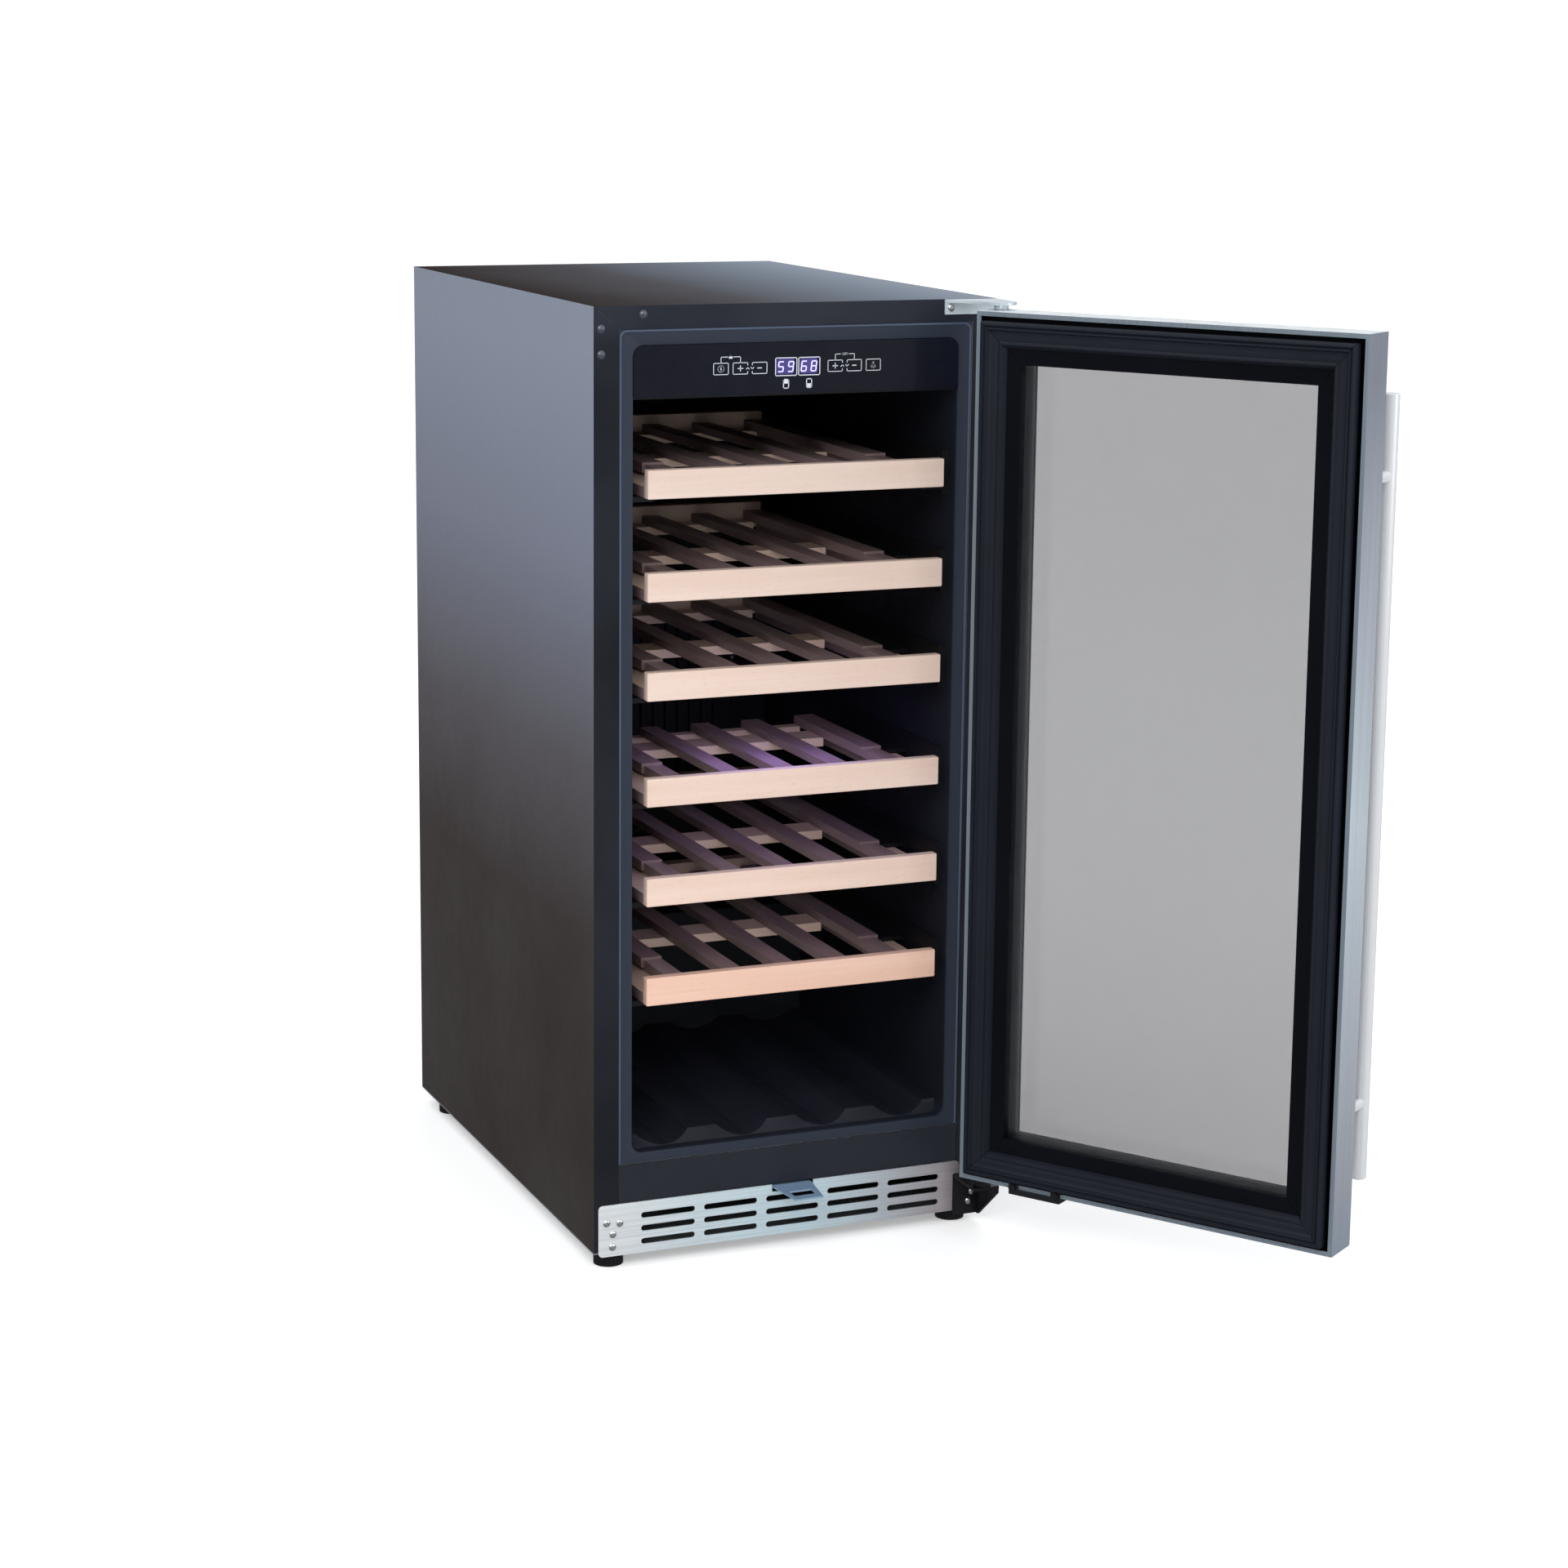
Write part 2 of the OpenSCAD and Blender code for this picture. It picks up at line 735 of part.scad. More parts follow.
module handle() {
  color(steel) at_door() difference() {
    union() {
      rod_z([handle_x, handle_y, handle_z0 + 1], handle_r, handle_z1 - handle_z0 - 2);
      translate([handle_x, handle_y, handle_z0]) cylinder(r1 = handle_r - 1, r2 = handle_r, h = 1);
      translate([handle_x, handle_y, handle_z1 - 1]) cylinder(r1 = handle_r, r2 = handle_r - 1, h = 1);
      for (z = leg_z) rod_y([handle_x, handle_y, z], 5, handle_out);
    }
    for (z = leg_z) rod_y([handle_x, front_y - 16, z], screw_r + 0.1, 17);
  }
}

module door_screws() {
  color(steel) at_door() {
    for (z = leg_z) {
      rod_y([handle_x, front_y - 14, z], screw_r, 15);
      rod_y([handle_x, front_y + 1, z], 4, 3);
    }
    for (x = [84, 128]) screw_out(x, 48, face_y + 2);
  }
}

// A screw whose head faces +Y, towards the cabinet when the door is shut
module screw_out(x, z, y) {
  rod_y([x, y, z], screw_head_r, screw_head_h);
  rod_y([x, y - 1.9, z], screw_r, 2);
}

module door_stop() {
  color(black) at_door() difference() {
    union() {
      block([80, -40, 41], [132, face_y + 2, door_z]);
      for (x = [80, 123]) block([x, face_y, 41], [x + 9, face_y + 2, 53]);
    }
    block([86, -36, 40], [126, -15, 44]);
    for (x = [84, 128]) rod_y([x, face_y - eps, 48], screw_r + 0.2, 4);
  }
}

module hinge_bushes() {
  color("#e8e8e4") at_door() difference() {
    union() {
      rod_z([pivot_x, pivot_y, door_z], 7, 12);
      rod_z([pivot_x, pivot_y, door_z + door_h - 12], 7, 12);
      rod_z([pivot_x, pivot_y, 32 + clear], 8, door_z - 32 - clear);
    }
    rod_z([pivot_x, pivot_y, 30], pin_r + fit, 40);
    rod_z([pivot_x, pivot_y, door_z + door_h - 30], pin_r + fit, 40);
  }
}

module lock_barrel() {
  color(steel) at_door() difference() {
    union() {
      rod_y([lock_x, front_y - 2, lock_z], 11, 2);
      rod_y([lock_x, front_y - 2, lock_z], 8, 19.7);
    }
    rod_y([lock_x, front_y - 3, lock_z], 5 + fit, 25);
  }
}

module lock_cam() {
  color(zinc) at_door() difference() {
    union() {
      rod_y([lock_x, front_y - 2, lock_z], 5, 22);
      block([lock_x - 5, front_y + 19, lock_z - 5], [lock_x + 27.5, front_y + 21.5, lock_z + 5]);
    }
    block([lock_x - 3.5, front_y - 3, lock_z - 0.6], [lock_x + 3.5, front_y + 3, lock_z + 0.6]);
  }
}

// ---- Shelves ----

module shelf_rail(number) {
  top = shelf_z[number - 1];
  color(beech) translate([0, 0, top - rail_h]) linear_extrude(rail_h)
    round_rect([-rail_x, -2], [rail_x, rail_back], 1.5);
}

module shelf_frame(number) {
  top = shelf_z[number - 1];
  short = number == short_shelf;
  depth = short ? short_d : shelf_d - 15;
  rear_bar = short ? 13 : 25;
  color(beech) union() {
    both_sides() {
      block([beam_in, rail_back, top - 12], [beam_in + 17, 76, top - 5]);
      block([beam_in, 75, top - 12], [beam_in + 20, depth, top - 3]);
      block([beam_in + 14, rail_back, top - 25], [beam_in + 17, depth, top - 11]);
      block([beam_in + 16, rail_back, top - 25], [rail_x, depth, top - 15]);
    }
    for (x = [-52, 0, 52]) block([x - 9, rail_back, top - 12], [x + 9, depth, top - 4]);
    for (y = [[165, 200], [depth - rear_bar, depth]])
      block([-beam_in - 1, y[0], top - 20], [beam_in + 1, y[1], top - 11.5]);
    if (!short) block([-beam_in - 19, depth, top - 20], [beam_in + 19, shelf_d, top + 5]);
  }
}

module shelf_1_rail() { shelf_rail(1); }
module shelf_1_frame() { shelf_frame(1); }
module shelf_2_rail() { shelf_rail(2); }
module shelf_2_frame() { shelf_frame(2); }
module shelf_3_rail() { shelf_rail(3); }
module shelf_3_frame() { shelf_frame(3); }
module shelf_4_rail() { shelf_rail(4); }
module shelf_4_frame() { shelf_frame(4); }
module shelf_5_rail() { shelf_rail(5); }
module shelf_5_frame() { shelf_frame(5); }
module shelf_6_rail() { shelf_rail(6); }
module shelf_6_frame() { shelf_frame(6); }

outer_shell();
back_panel();
rear_cover();
base_pan();
compressor_bay_plate();
lower_front_panel();
inner_liner();
foam_insulation();
kick_grille();
cabinet_screws();
hole_plugs();
top_hinge();
bottom_hinge();
lock_strike();
control_fascia();
control_housing();
control_board();
light_lens();
evaporator_cover();
evaporator_coil();
fan_housings();
shelf_guides();
compressor();
compressor_grommets();
condenser_coil();
drip_tray();
drain_tube();
mains_inlet();
refrigerant_pipes();
evaporator_fan_upper();
evaporator_fan_lower();
condenser_fan();
foot_front_left();
foot_front_right();
foot_rear_left();
foot_rear_right();
door_skin();
door_inner_frame();
door_frame_foam();
glass_panes();
glass_spacer();
door_gasket();
handle();
door_screws();
door_stop();
hinge_bushes();
lock_barrel();
lock_cam();
shelf_1_rail();
shelf_1_frame();
shelf_2_rail();
shelf_2_frame();
shelf_3_rail();
shelf_3_frame();
shelf_4_rail();
shelf_4_frame();
shelf_5_rail();
shelf_5_frame();
shelf_6_rail();
shelf_6_frame();
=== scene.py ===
"""Looks of the wine cooler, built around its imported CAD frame. Metres, +Z up, front faces -Y."""

import json
import math

import bmesh
import bpy
from mathutils import Matrix, Vector

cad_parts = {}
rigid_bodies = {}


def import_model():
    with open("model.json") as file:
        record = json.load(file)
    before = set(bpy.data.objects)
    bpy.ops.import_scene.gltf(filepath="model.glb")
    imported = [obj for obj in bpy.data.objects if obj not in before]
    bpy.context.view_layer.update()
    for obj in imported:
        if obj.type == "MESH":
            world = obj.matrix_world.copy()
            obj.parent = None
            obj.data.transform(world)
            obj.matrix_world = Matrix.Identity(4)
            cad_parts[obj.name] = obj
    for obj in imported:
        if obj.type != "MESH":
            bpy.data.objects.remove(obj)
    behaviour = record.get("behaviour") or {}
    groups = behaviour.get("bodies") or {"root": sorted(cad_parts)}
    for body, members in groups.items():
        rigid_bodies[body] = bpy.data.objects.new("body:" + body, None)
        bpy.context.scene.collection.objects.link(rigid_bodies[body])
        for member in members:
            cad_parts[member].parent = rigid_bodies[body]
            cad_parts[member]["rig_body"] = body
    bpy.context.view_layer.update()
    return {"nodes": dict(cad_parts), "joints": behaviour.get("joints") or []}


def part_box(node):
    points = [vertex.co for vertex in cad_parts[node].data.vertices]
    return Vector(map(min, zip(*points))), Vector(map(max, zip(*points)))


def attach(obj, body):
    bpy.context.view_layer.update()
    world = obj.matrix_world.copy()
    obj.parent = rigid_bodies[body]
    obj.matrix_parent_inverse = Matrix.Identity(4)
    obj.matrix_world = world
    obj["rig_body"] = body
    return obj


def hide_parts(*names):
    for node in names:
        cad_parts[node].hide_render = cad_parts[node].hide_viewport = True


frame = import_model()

MM = 0.001
NODES = frame["nodes"]
FLOOR_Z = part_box("foot_front_left")[0].z
SHELVES = range(1, 7)

# The door's hinge, and the turn that takes the shut door to where it stands open
HINGE = next(j for j in frame["joints"] if j["name"] == "door_hinge")
OPEN_ANGLE = -math.radians(HINGE["range_deg"][0])
PIVOT = Vector(HINGE["pos_m"])
SWING = Matrix.Translation(PIVOT) @ Matrix.Rotation(OPEN_ANGLE, 4, "Z") @ Matrix.Translation(-PIVOT)


# ---- Mesh helpers ----

def linear(hex_code):
    """An sRGB colour such as 26272c as linear RGBA."""
    parts = [int(hex_code[i:i + 2], 16) / 255 for i in (0, 2, 4)]
    return tuple(p / 12.92 if p <= 0.04045 else ((p + 0.055) / 1.055) ** 2.4 for p in parts) + (1.0,)


def new_object(name, bm, material, body, smooth_angle=None):
    """Turns a bmesh into an object that rides on a body."""
    mesh = bpy.data.meshes.new(name)
    bmesh.ops.recalc_face_normals(bm, faces=bm.faces)
    bm.to_mesh(mesh)
    bm.free()
    mesh.materials.append(material)
    obj = bpy.data.objects.new(name, mesh)
    bpy.context.scene.collection.objects.link(obj)
    if smooth_angle is not None:
        mesh.shade_smooth()
        mesh.set_sharp_from_angle(angle=math.radians(smooth_angle))
    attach(obj, body)
    return obj


def shut_box(node):
    """A door node's lowest and highest corners with the door shut."""
    back = SWING.inverted()
    points = [back @ v.co for v in NODES[node].data.vertices]
    lo = Vector([min(p[i] for p in points) for i in range(3)])
    hi = Vector([max(p[i] for p in points) for i in range(3)])
    return lo, hi


def cleaned_copy(node):
    """A bmesh of a CAD node with its flat faces joined up."""
    bm = bmesh.new()
    bm.from_mesh(NODES[node].data)
    bmesh.ops.remove_doubles(bm, verts=bm.verts, dist=2e-6)
    bmesh.ops.dissolve_limit(bm, angle_limit=math.radians(0.5), verts=bm.verts, edges=bm.edges)
    return bm


def soften(node, material, radius, segments=2, angle=32):
    """A copy of a CAD node with small round edges, which stands for it."""
    body = NODES[node]["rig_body"]
    obj = new_object(node + "_finished", cleaned_copy(node), material, body, 35)
    bevel = obj.modifiers.new("edge", "BEVEL")
    bevel.width = radius
    bevel.segments = segments
    bevel.limit_method = "ANGLE"
    bevel.angle_limit = math.radians(angle)
    bevel.harden_normals = True
    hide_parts(node)
    return obj


def paint_node(node, material):
    """Gives a CAD node that stays its finish."""
    obj = NODES[node]
    obj.data.materials.clear()
    obj.data.materials.append(material)
    obj.data.shade_smooth()
    obj.data.set_sharp_from_angle(angle=math.radians(35))


def islands(node):
    """The boxes of a node's separate solids."""
    bm = cleaned_copy(node)
    left = set(bm.verts)
    found = []
    while left:
        group = [left.pop()]
        for vert in group:
            for edge in vert.link_edges:
                other = edge.other_vert(vert)
                if other in left:
                    left.remove(other)
                    group.append(other)
        lo = Vector([min(v.co[i] for v in group) for i in range(3)])
        hi = Vector([max(v.co[i] for v in group) for i in range(3)])
        found.append((lo, hi))
    bm.free()
    return sorted(found, key=lambda box: tuple(round(c, 5) for c in box[0]))


def slab(bm, outline, y0, y1):
    """A prism from an outline in X and Z, between two depths."""
    front = [bm.verts.new((x, y0, z)) for x, z in outline]
    back = [bm.verts.new((x, y1, z)) for x, z in outline]
    bm.faces.new(front)
    bm.faces.new(back)
    for i in range(len(outline)):
        j = (i + 1) % len(outline)
        bm.faces.new((front[i], front[j], back[j], back[i]))


def skin(bm, rings):
    """Closes a row of rings of vertices into a solid."""
    sides = len(rings[0])
    for here, there in zip(rings, rings[1:]):
        for k in range(sides):
            j = (k + 1) % sides
            bm.faces.new((here[k], here[j], there[j], there[k]))
    bm.faces.new(rings[0])
    bm.faces.new(rings[-1])


def stroke(bm, start, end, width, y0, y1):
    """A straight line of print with square ends that reach half its width past its points."""
    start, end = Vector(start), Vector(end)
    along = (end - start).normalized() * width / 2
    across = Vector((-along.y, along.x))
    corners = (start - along - across, end + along - across, end + along + across, start - along + across)
    slab(bm, [(c.x, c.y) for c in corners], y0, y1)


def ring_stroke(bm, center, radius, width, y0, y1, start=0, sweep=360, steps=20):
    """An arc of print round a centre."""
    turns = [math.radians(start + sweep * i / steps) for i in range(steps + 1)]
    points = [(center[0] + radius * math.cos(a), center[1] + radius * math.sin(a)) for a in turns]
    for here, there in zip(points, points[1:]):
        stroke(bm, here, there, width, y0, y1)


def mitred_ring(name, profile, node, material, gap=0.0005, smooth=38):
    """Four lengths of one profile round the door, cut on the mitre. The profile's points are the distance
    in from the door's edge and the height above its inner face, in millimetres."""
    lo, hi = shut_box("door_skin")
    corners = ((0, 0), (1, 0), (1, 1), (0, 1))

    def place(corner, point):
        inset = point[0] * MM
        x = hi.x - inset if corner[0] else lo.x + inset
        z = hi.z - inset if corner[1] else lo.z + inset
        return Vector((x, hi.y + point[1] * MM, z))

    bm = bmesh.new()
    for i, here in enumerate(corners):
        there = corners[(i + 1) % 4]
        trim = Vector((there[0] - here[0], 0, there[1] - here[1])) * gap / 2
        first = [bm.verts.new(place(here, p) + trim) for p in profile]
        last = [bm.verts.new(place(there, p) - trim) for p in profile]
        for a in range(len(profile)):
            b = (a + 1) % len(profile)
            bm.faces.new((first[a], first[b], last[b], last[a]))
        bm.faces.new(first)
        bm.faces.new(last)
    bmesh.ops.transform(bm, matrix=SWING, verts=bm.verts)
    ring = new_object(name, bm, material, "door", smooth)
    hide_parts(node)


# ---- Materials ----

# How nearly a face must look along a direction to count as facing it, as a cosine
FACING_LIMIT = 0.7

# Painted reflection and shade down the height or across the width of a piece: a position from 0 to 1, and an
# sRGB code
SIDE_REFLECTION_STOPS = ((0.10, "271d1a"), (0.34, "2b2220"), (0.52, "49464b"), (0.74, "6c7080"), (0.95, "7a8190"))
FLANGE_REFLECTION_STOPS = ((0.0, "14161d"), (0.96, "13151c"), (0.98, "1e212a"))
TOP_REFLECTION_STOPS = ((0.0, "302927"), (0.4, "4d4c50"), (0.8, "757e8a"), (1.0, "8b929e"))
GRILLE_REFLECTION_STOPS = ((0.02, "e4e7ea"), (0.25, "d2e0e6"), (0.55, "cadfe8"), (0.9, "a7a0a4"), (0.965, "5a5052"))
DOOR_EDGE_REFLECTION_STOPS = ((0.06, "9da8b8"), (0.12, "acb1bc"), (0.5, "d8e4ee"), (0.8, "b4bcc8"), (0.95, "949aa8"))

# Linear colours that are used as they are
GLASS_TINTS = ((0.575, 0.575, 0.58, 1.0), (0.585, 0.58, 0.585, 1.0))
# Painted shade: the slats' beech is darker, as if in shade.
SLAT_SHADED_TONE = (0.245, 0.175, 0.18)
# Painted light: the rear boards' and crossbars' beech is lighter, as if lit.
BOARD_LIT_TONE = (0.60, 0.45, 0.37)


class Finish:
    """A Principled material with helpers that add procedural detail in object space."""

    def __init__(self, name, color, roughness, metallic=0.0, **sockets):
        self.material = bpy.data.materials.new(name)
        self.material.use_nodes = True
        self.tree = self.material.node_tree
        self.bsdf = self.tree.nodes["Principled BSDF"]
        self.bsdf.inputs["Base Color"].default_value = color
        self.bsdf.inputs["Roughness"].default_value = roughness
        self.bsdf.inputs["Metallic"].default_value = metallic
        for socket, value in sockets.items():
            self.bsdf.inputs[socket.replace("_", " ")].default_value = value
        self.coords = self.tree.nodes.new("ShaderNodeTexCoord").outputs["Object"]
        self.heights = []

    def add(self, kind, inputs=None, **settings):
        """A new shader node, its inputs linked or set."""
        node = self.tree.nodes.new(kind)
        for key, value in settings.items():
            setattr(node, key, value)
        for key, value in (inputs or {}).items():
            if isinstance(value, bpy.types.NodeSocket):
                self.tree.links.new(value, node.inputs[key])
            else:
                node.inputs[key].default_value = value
        return node

    def noise(self, scale, detail=3.0, rough=0.55, offset=(0, 0, 0)):
        """Noise whose scale is given along X, Y and Z, in cycles per metre."""
        stretch = self.add("ShaderNodeMapping", {"Vector": self.coords, "Scale": scale, "Location": offset})
        texture = self.add(
            "ShaderNodeTexNoise",
            {"Vector": stretch.outputs[0], "Scale": 1.0, "Detail": detail, "Roughness": rough},
        )
        return texture.outputs["Fac"]

    def spread(self, value, low, high, from_low=0.3, from_high=0.7):
        """Maps a value, by default the middle of a noise, to a range."""
        node = self.add(
            "ShaderNodeMapRange",
            {"Value": value, "From Min": from_low, "From Max": from_high, "To Min": low, "To Max": high},
        )
        return node.outputs[0]

    def mix(self, factor, one, two, blend="MIX"):
        """Blends two colours; each argument may be a socket or a plain value."""
        node = self.add("ShaderNodeMix", data_type="RGBA", blend_type=blend)
        for socket, value in ((node.inputs[0], factor), (node.inputs[6], one), (node.inputs[7], two)):
            if isinstance(value, bpy.types.NodeSocket):
                self.tree.links.new(value, socket)
            else:
                socket.default_value = value
        return node.outputs[2]

    def ramp(self, factor, stops):
        """A colour ramp from pairs of a position and an sRGB code."""
        node = self.add("ShaderNodeValToRGB", {"Fac": factor})
        elements = node.color_ramp.elements
        while len(elements) < len(stops):
            elements.new(0.5)
        for element, (position, code) in zip(elements, stops):
            element.position = position
            element.color = linear(code)
        return node.outputs[0]

    def axis(self, index):
        """A point's X, Y or Z in the piece's own space."""
        split = self.add("ShaderNodeSeparateXYZ", {"Vector": self.coords})
        return split.outputs[index]

    def facing(self, direction):
        """1 on the faces that look along a direction in the piece's own space, otherwise 0."""
        normal = self.add("ShaderNodeTexCoord").outputs["Normal"]
        along = self.add("ShaderNodeVectorMath", {0: normal, 1: direction}, operation="DOT_PRODUCT")
        limit = {0: along.outputs["Value"], 1: FACING_LIMIT}
        return self.add("ShaderNodeMath", limit, operation="GREATER_THAN").outputs[0]

    def set(self, socket, value):
        self.tree.links.new(value, self.bsdf.inputs[socket])

    def bump(self, height, strength, distance):
        """Adds a layer of relief; the layers chain one on the other."""
        node = self.add("ShaderNodeBump", {"Height": height, "Strength": strength, "Distance": distance})
        if self.heights:
            self.tree.links.new(self.heights[-1].outputs[0], node.inputs["Normal"])
        self.heights.append(node)
        self.tree.links.new(node.outputs[0], self.bsdf.inputs["Normal"])
        return self


def satin(name, color, roughness, grain=900.0, depth=0.00004, variation=0.12, gloss=0.3, **sockets):
    """Painted or moulded surface: faint mottling, uneven gloss, and a grain so many cycles to the metre."""
    f = Finish(name, color, roughness, Specular_IOR_Level=gloss, **sockets)
    clouds = f.noise((7, 7, 7), 4.0)
    dark = tuple(c * (1 - variation) for c in color[:3]) + (1.0,)
    light = tuple(min(1.0, c * (1 + variation)) for c in color[:3]) + (1.0,)
    f.set("Base Color", f.mix(f.spread(clouds, 0, 1), dark, light))
    f.set("Roughness", f.spread(f.noise((60, 60, 60), 3.0), roughness - 0.04, roughness + 0.05))
    f.bump(f.noise((grain, grain, grain), 2.0), 0.35, depth)
    return f.material


def wrap_paint_and_reflection(name, painted_reflection_of, gloss):
    """The wrap's satin paint over a painted reflection that changes slowly over the sheet."""
    f = Finish(name, linear("3b3635"), 0.34, Specular_IOR_Level=gloss)
    clouds = f.spread(f.noise((5, 5, 5), 3.0), 0.0, 0.05)
    f.set("Base Color", f.mix(clouds, painted_reflection_of(f), linear("808890")))
    f.set("Roughness", f.spread(f.noise((40, 40, 40), 3.0), 0.30, 0.38))
    f.bump(f.noise((420, 420, 420), 2.0), 0.2, 0.00003)
    return f.material


def share_of_height(f):
    """0 at the cabinet's foot and 1 at its top."""
    return f.spread(f.axis(2), 0, 1, 0.0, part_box("outer_shell")[1].z)


def share_of_width(f):
    """0 at the cabinet's left side and 1 at its right."""
    return f.spread(f.axis(0), 0, 1, -0.19, 0.19)


def side_painted_reflection(f):
    """Painted reflection: slate grey above that warms and darkens downwards; the front flange of the same
    sheet is painted near black.
    """
    height = share_of_height(f)
    body = f.ramp(height, SIDE_REFLECTION_STOPS)
    front = f.ramp(height, FLANGE_REFLECTION_STOPS)
    return f.mix(f.facing((0, -1, 0)), body, front)


def top_painted_reflection(f):
    """Painted reflection: warm dark grey on the left that turns to a light blue-grey on the right."""
    return f.ramp(share_of_width(f), TOP_REFLECTION_STOPS)


def liner_plastic():
    """Black moulded plastic with painted light on the flange that faces the room, which is lighter and bluer.
    """
    f = Finish("liner_plastic", linear("1b1e27"), 0.42, Specular_IOR_Level=0.3)
    # Painted light: the front flange of the moulding is lighter and bluer than the rest.
    lit_flange_mask = f.add("ShaderNodeMath", {0: f.axis(1), 1: 0.004}, operation="LESS_THAN").outputs[0]
    clouds = f.mix(f.spread(f.noise((7, 7, 7), 4.0), 0, 1), linear("181b23"), linear("1e212b"))
    f.set("Base Color", f.mix(lit_flange_mask, clouds, linear("262d3a")))
    f.set("Roughness", f.spread(f.noise((60, 60, 60), 3.0), 0.38, 0.47))
    f.bump(f.noise((1200, 1200, 1200), 2.0), 0.35, 0.00005)
    return f.material


def stretched(across, lengthwise, along):
    """A noise scale that is coarser along one axis: 0, 1 or 2."""
    scale = [across, across, across]
    scale[along] = lengthwise
    return tuple(scale)


def brushed(name, color, along, roughness=0.3, streak=0.25, metallic=1.0, painted_light_of=None):
    """Brushed steel with fine lines along one axis, over painted reflection and shade where they are given.
    """
    f = Finish(name, color, roughness, metallic, Anisotropic=0.45)
    lines = f.noise(stretched(900.0, 4.0, along), 3.0, 0.6)
    bands = f.noise(stretched(60.0, 1.5, along), 2.0)
    # Painted reflection and shade, where given, take the place of the plain colour.
    base = painted_light_of(f) if painted_light_of else color
    dark = f.mix(1.0, base, (1 - streak, 1 - streak, 1 - streak, 1.0), "MULTIPLY")
    f.set("Base Color", f.mix(f.spread(lines, 0, 1, 0.35, 0.65), dark, base))
    f.set("Roughness", f.spread(bands, roughness - 0.07, roughness + 0.1))
    f.bump(lines, 0.25, 0.00003)
    return f.material


def grille_painted_reflection(f):
    """Painted reflection across the grille, bright on the left and duller towards the hinge, with painted
    shade at its right end.
    """
    return f.ramp(share_of_width(f), GRILLE_REFLECTION_STOPS)


def door_steel_painted_light(f):
    """Painted light on the door's steel: the free edge carries a painted reflection, brightest in the middle;
    the lip is painted darker as shade and the top painted bright as a highlight, each even, as are the other
    faces.
    """
    edge = f.ramp(share_of_height(f), DOOR_EDGE_REFLECTION_STOPS)
    edge_normal = SWING.to_3x3() @ Vector((-1, 0, 0))
    lip_normal = SWING.to_3x3() @ Vector((0, 1, 0))
    sides = f.mix(f.facing(tuple(edge_normal)), linear("cdd2d8"), edge)
    faces = f.mix(f.facing(tuple(lip_normal)), sides, linear("8a97a3"))
    return f.mix(f.facing((0, 0, 1)), faces, linear("f2f8fa"))


def metal(name, color, roughness):
    """Bright plated or machined metal with slight mottling."""
    f = Finish(name, color, roughness, 1.0)
    f.set("Roughness", f.spread(f.noise((350, 350, 350), 3.0), roughness - 0.05, roughness + 0.08))
    f.bump(f.noise((1500, 1500, 1500), 2.0), 0.15, 0.00002)
    return f.material


def beech(name, along, tone, contrast=1.0, offset=(0, 0, 0)):
    """Steamed beech: soft growth bands and short dark pore flecks along the grain."""
    light = tone + (1.0,)
    dark = (tone[0] * 0.86, tone[1] * 0.80, tone[2] * 0.74, 1.0)
    fleck_color = (tone[0] * 0.66, tone[1] * 0.52, tone[2] * 0.42, 1.0)
    f = Finish(name, light, 0.42, Coat_Weight=0.12, Coat_Roughness=0.35, Specular_IOR_Level=0.4)
    growth = f.noise(stretched(38.0, 2.2, along), 4.0, 0.6, offset)
    fibre = f.noise(stretched(420.0, 9.0, along), 3.0, 0.6, offset)
    pore = f.noise(stretched(1500.0, 110.0, along), 2.0, 0.5, offset)
    wood = f.mix(f.spread(growth, 0, 0.75 * contrast, 0.35, 0.7), light, dark)
    wood = f.mix(f.spread(fibre, 0, 0.35 * contrast, 0.4, 0.75), wood, dark)
    wood = f.mix(f.spread(pore, 0, 0.55 * contrast, 0.62, 0.72), wood, fleck_color)
    f.set("Base Color", wood)
    f.set("Roughness", f.spread(fibre, 0.38, 0.5))
    f.bump(fibre, 0.2, 0.00006).bump(pore, 0.2, 0.00004)
    return f.material


def glowing(name, color, strength, base):
    """A lit part whose light varies a little over its face."""
    f = Finish(name, base, 0.3, Emission_Strength=strength)
    f.bsdf.inputs["Emission Color"].default_value = color
    dim = tuple(c * 0.85 for c in color[:3]) + (1.0,)
    f.set("Emission Color", f.mix(f.spread(f.noise((90, 90, 90)), 0, 1), dim, color))
    return f.material


def tinted_glass():
    """Grey float glass, its tint split over the panes' four faces."""
    f = Finish("tinted_glass", GLASS_TINTS[0], 0.0, Transmission_Weight=1.0, IOR=1.5)
    clouds = f.noise((3, 3, 3), 2.0)
    f.set("Base Color", f.mix(f.spread(clouds, 0, 1), *GLASS_TINTS))
    return f.material


def rail_painted_light_tone(i):
    """A front board's colour with painted light: a little lighter down the cabinet, and the lowest more
    orange, as light falls differently on each shelf.
    """
    lowest = i == SHELVES[-1]
    green = 0.86 if lowest else 1
    blue = 0.8 if lowest else 1
    return (0.62 + 0.018 * i, (0.505 + 0.01 * i) * green, (0.45 + 0.006 * i) * blue)


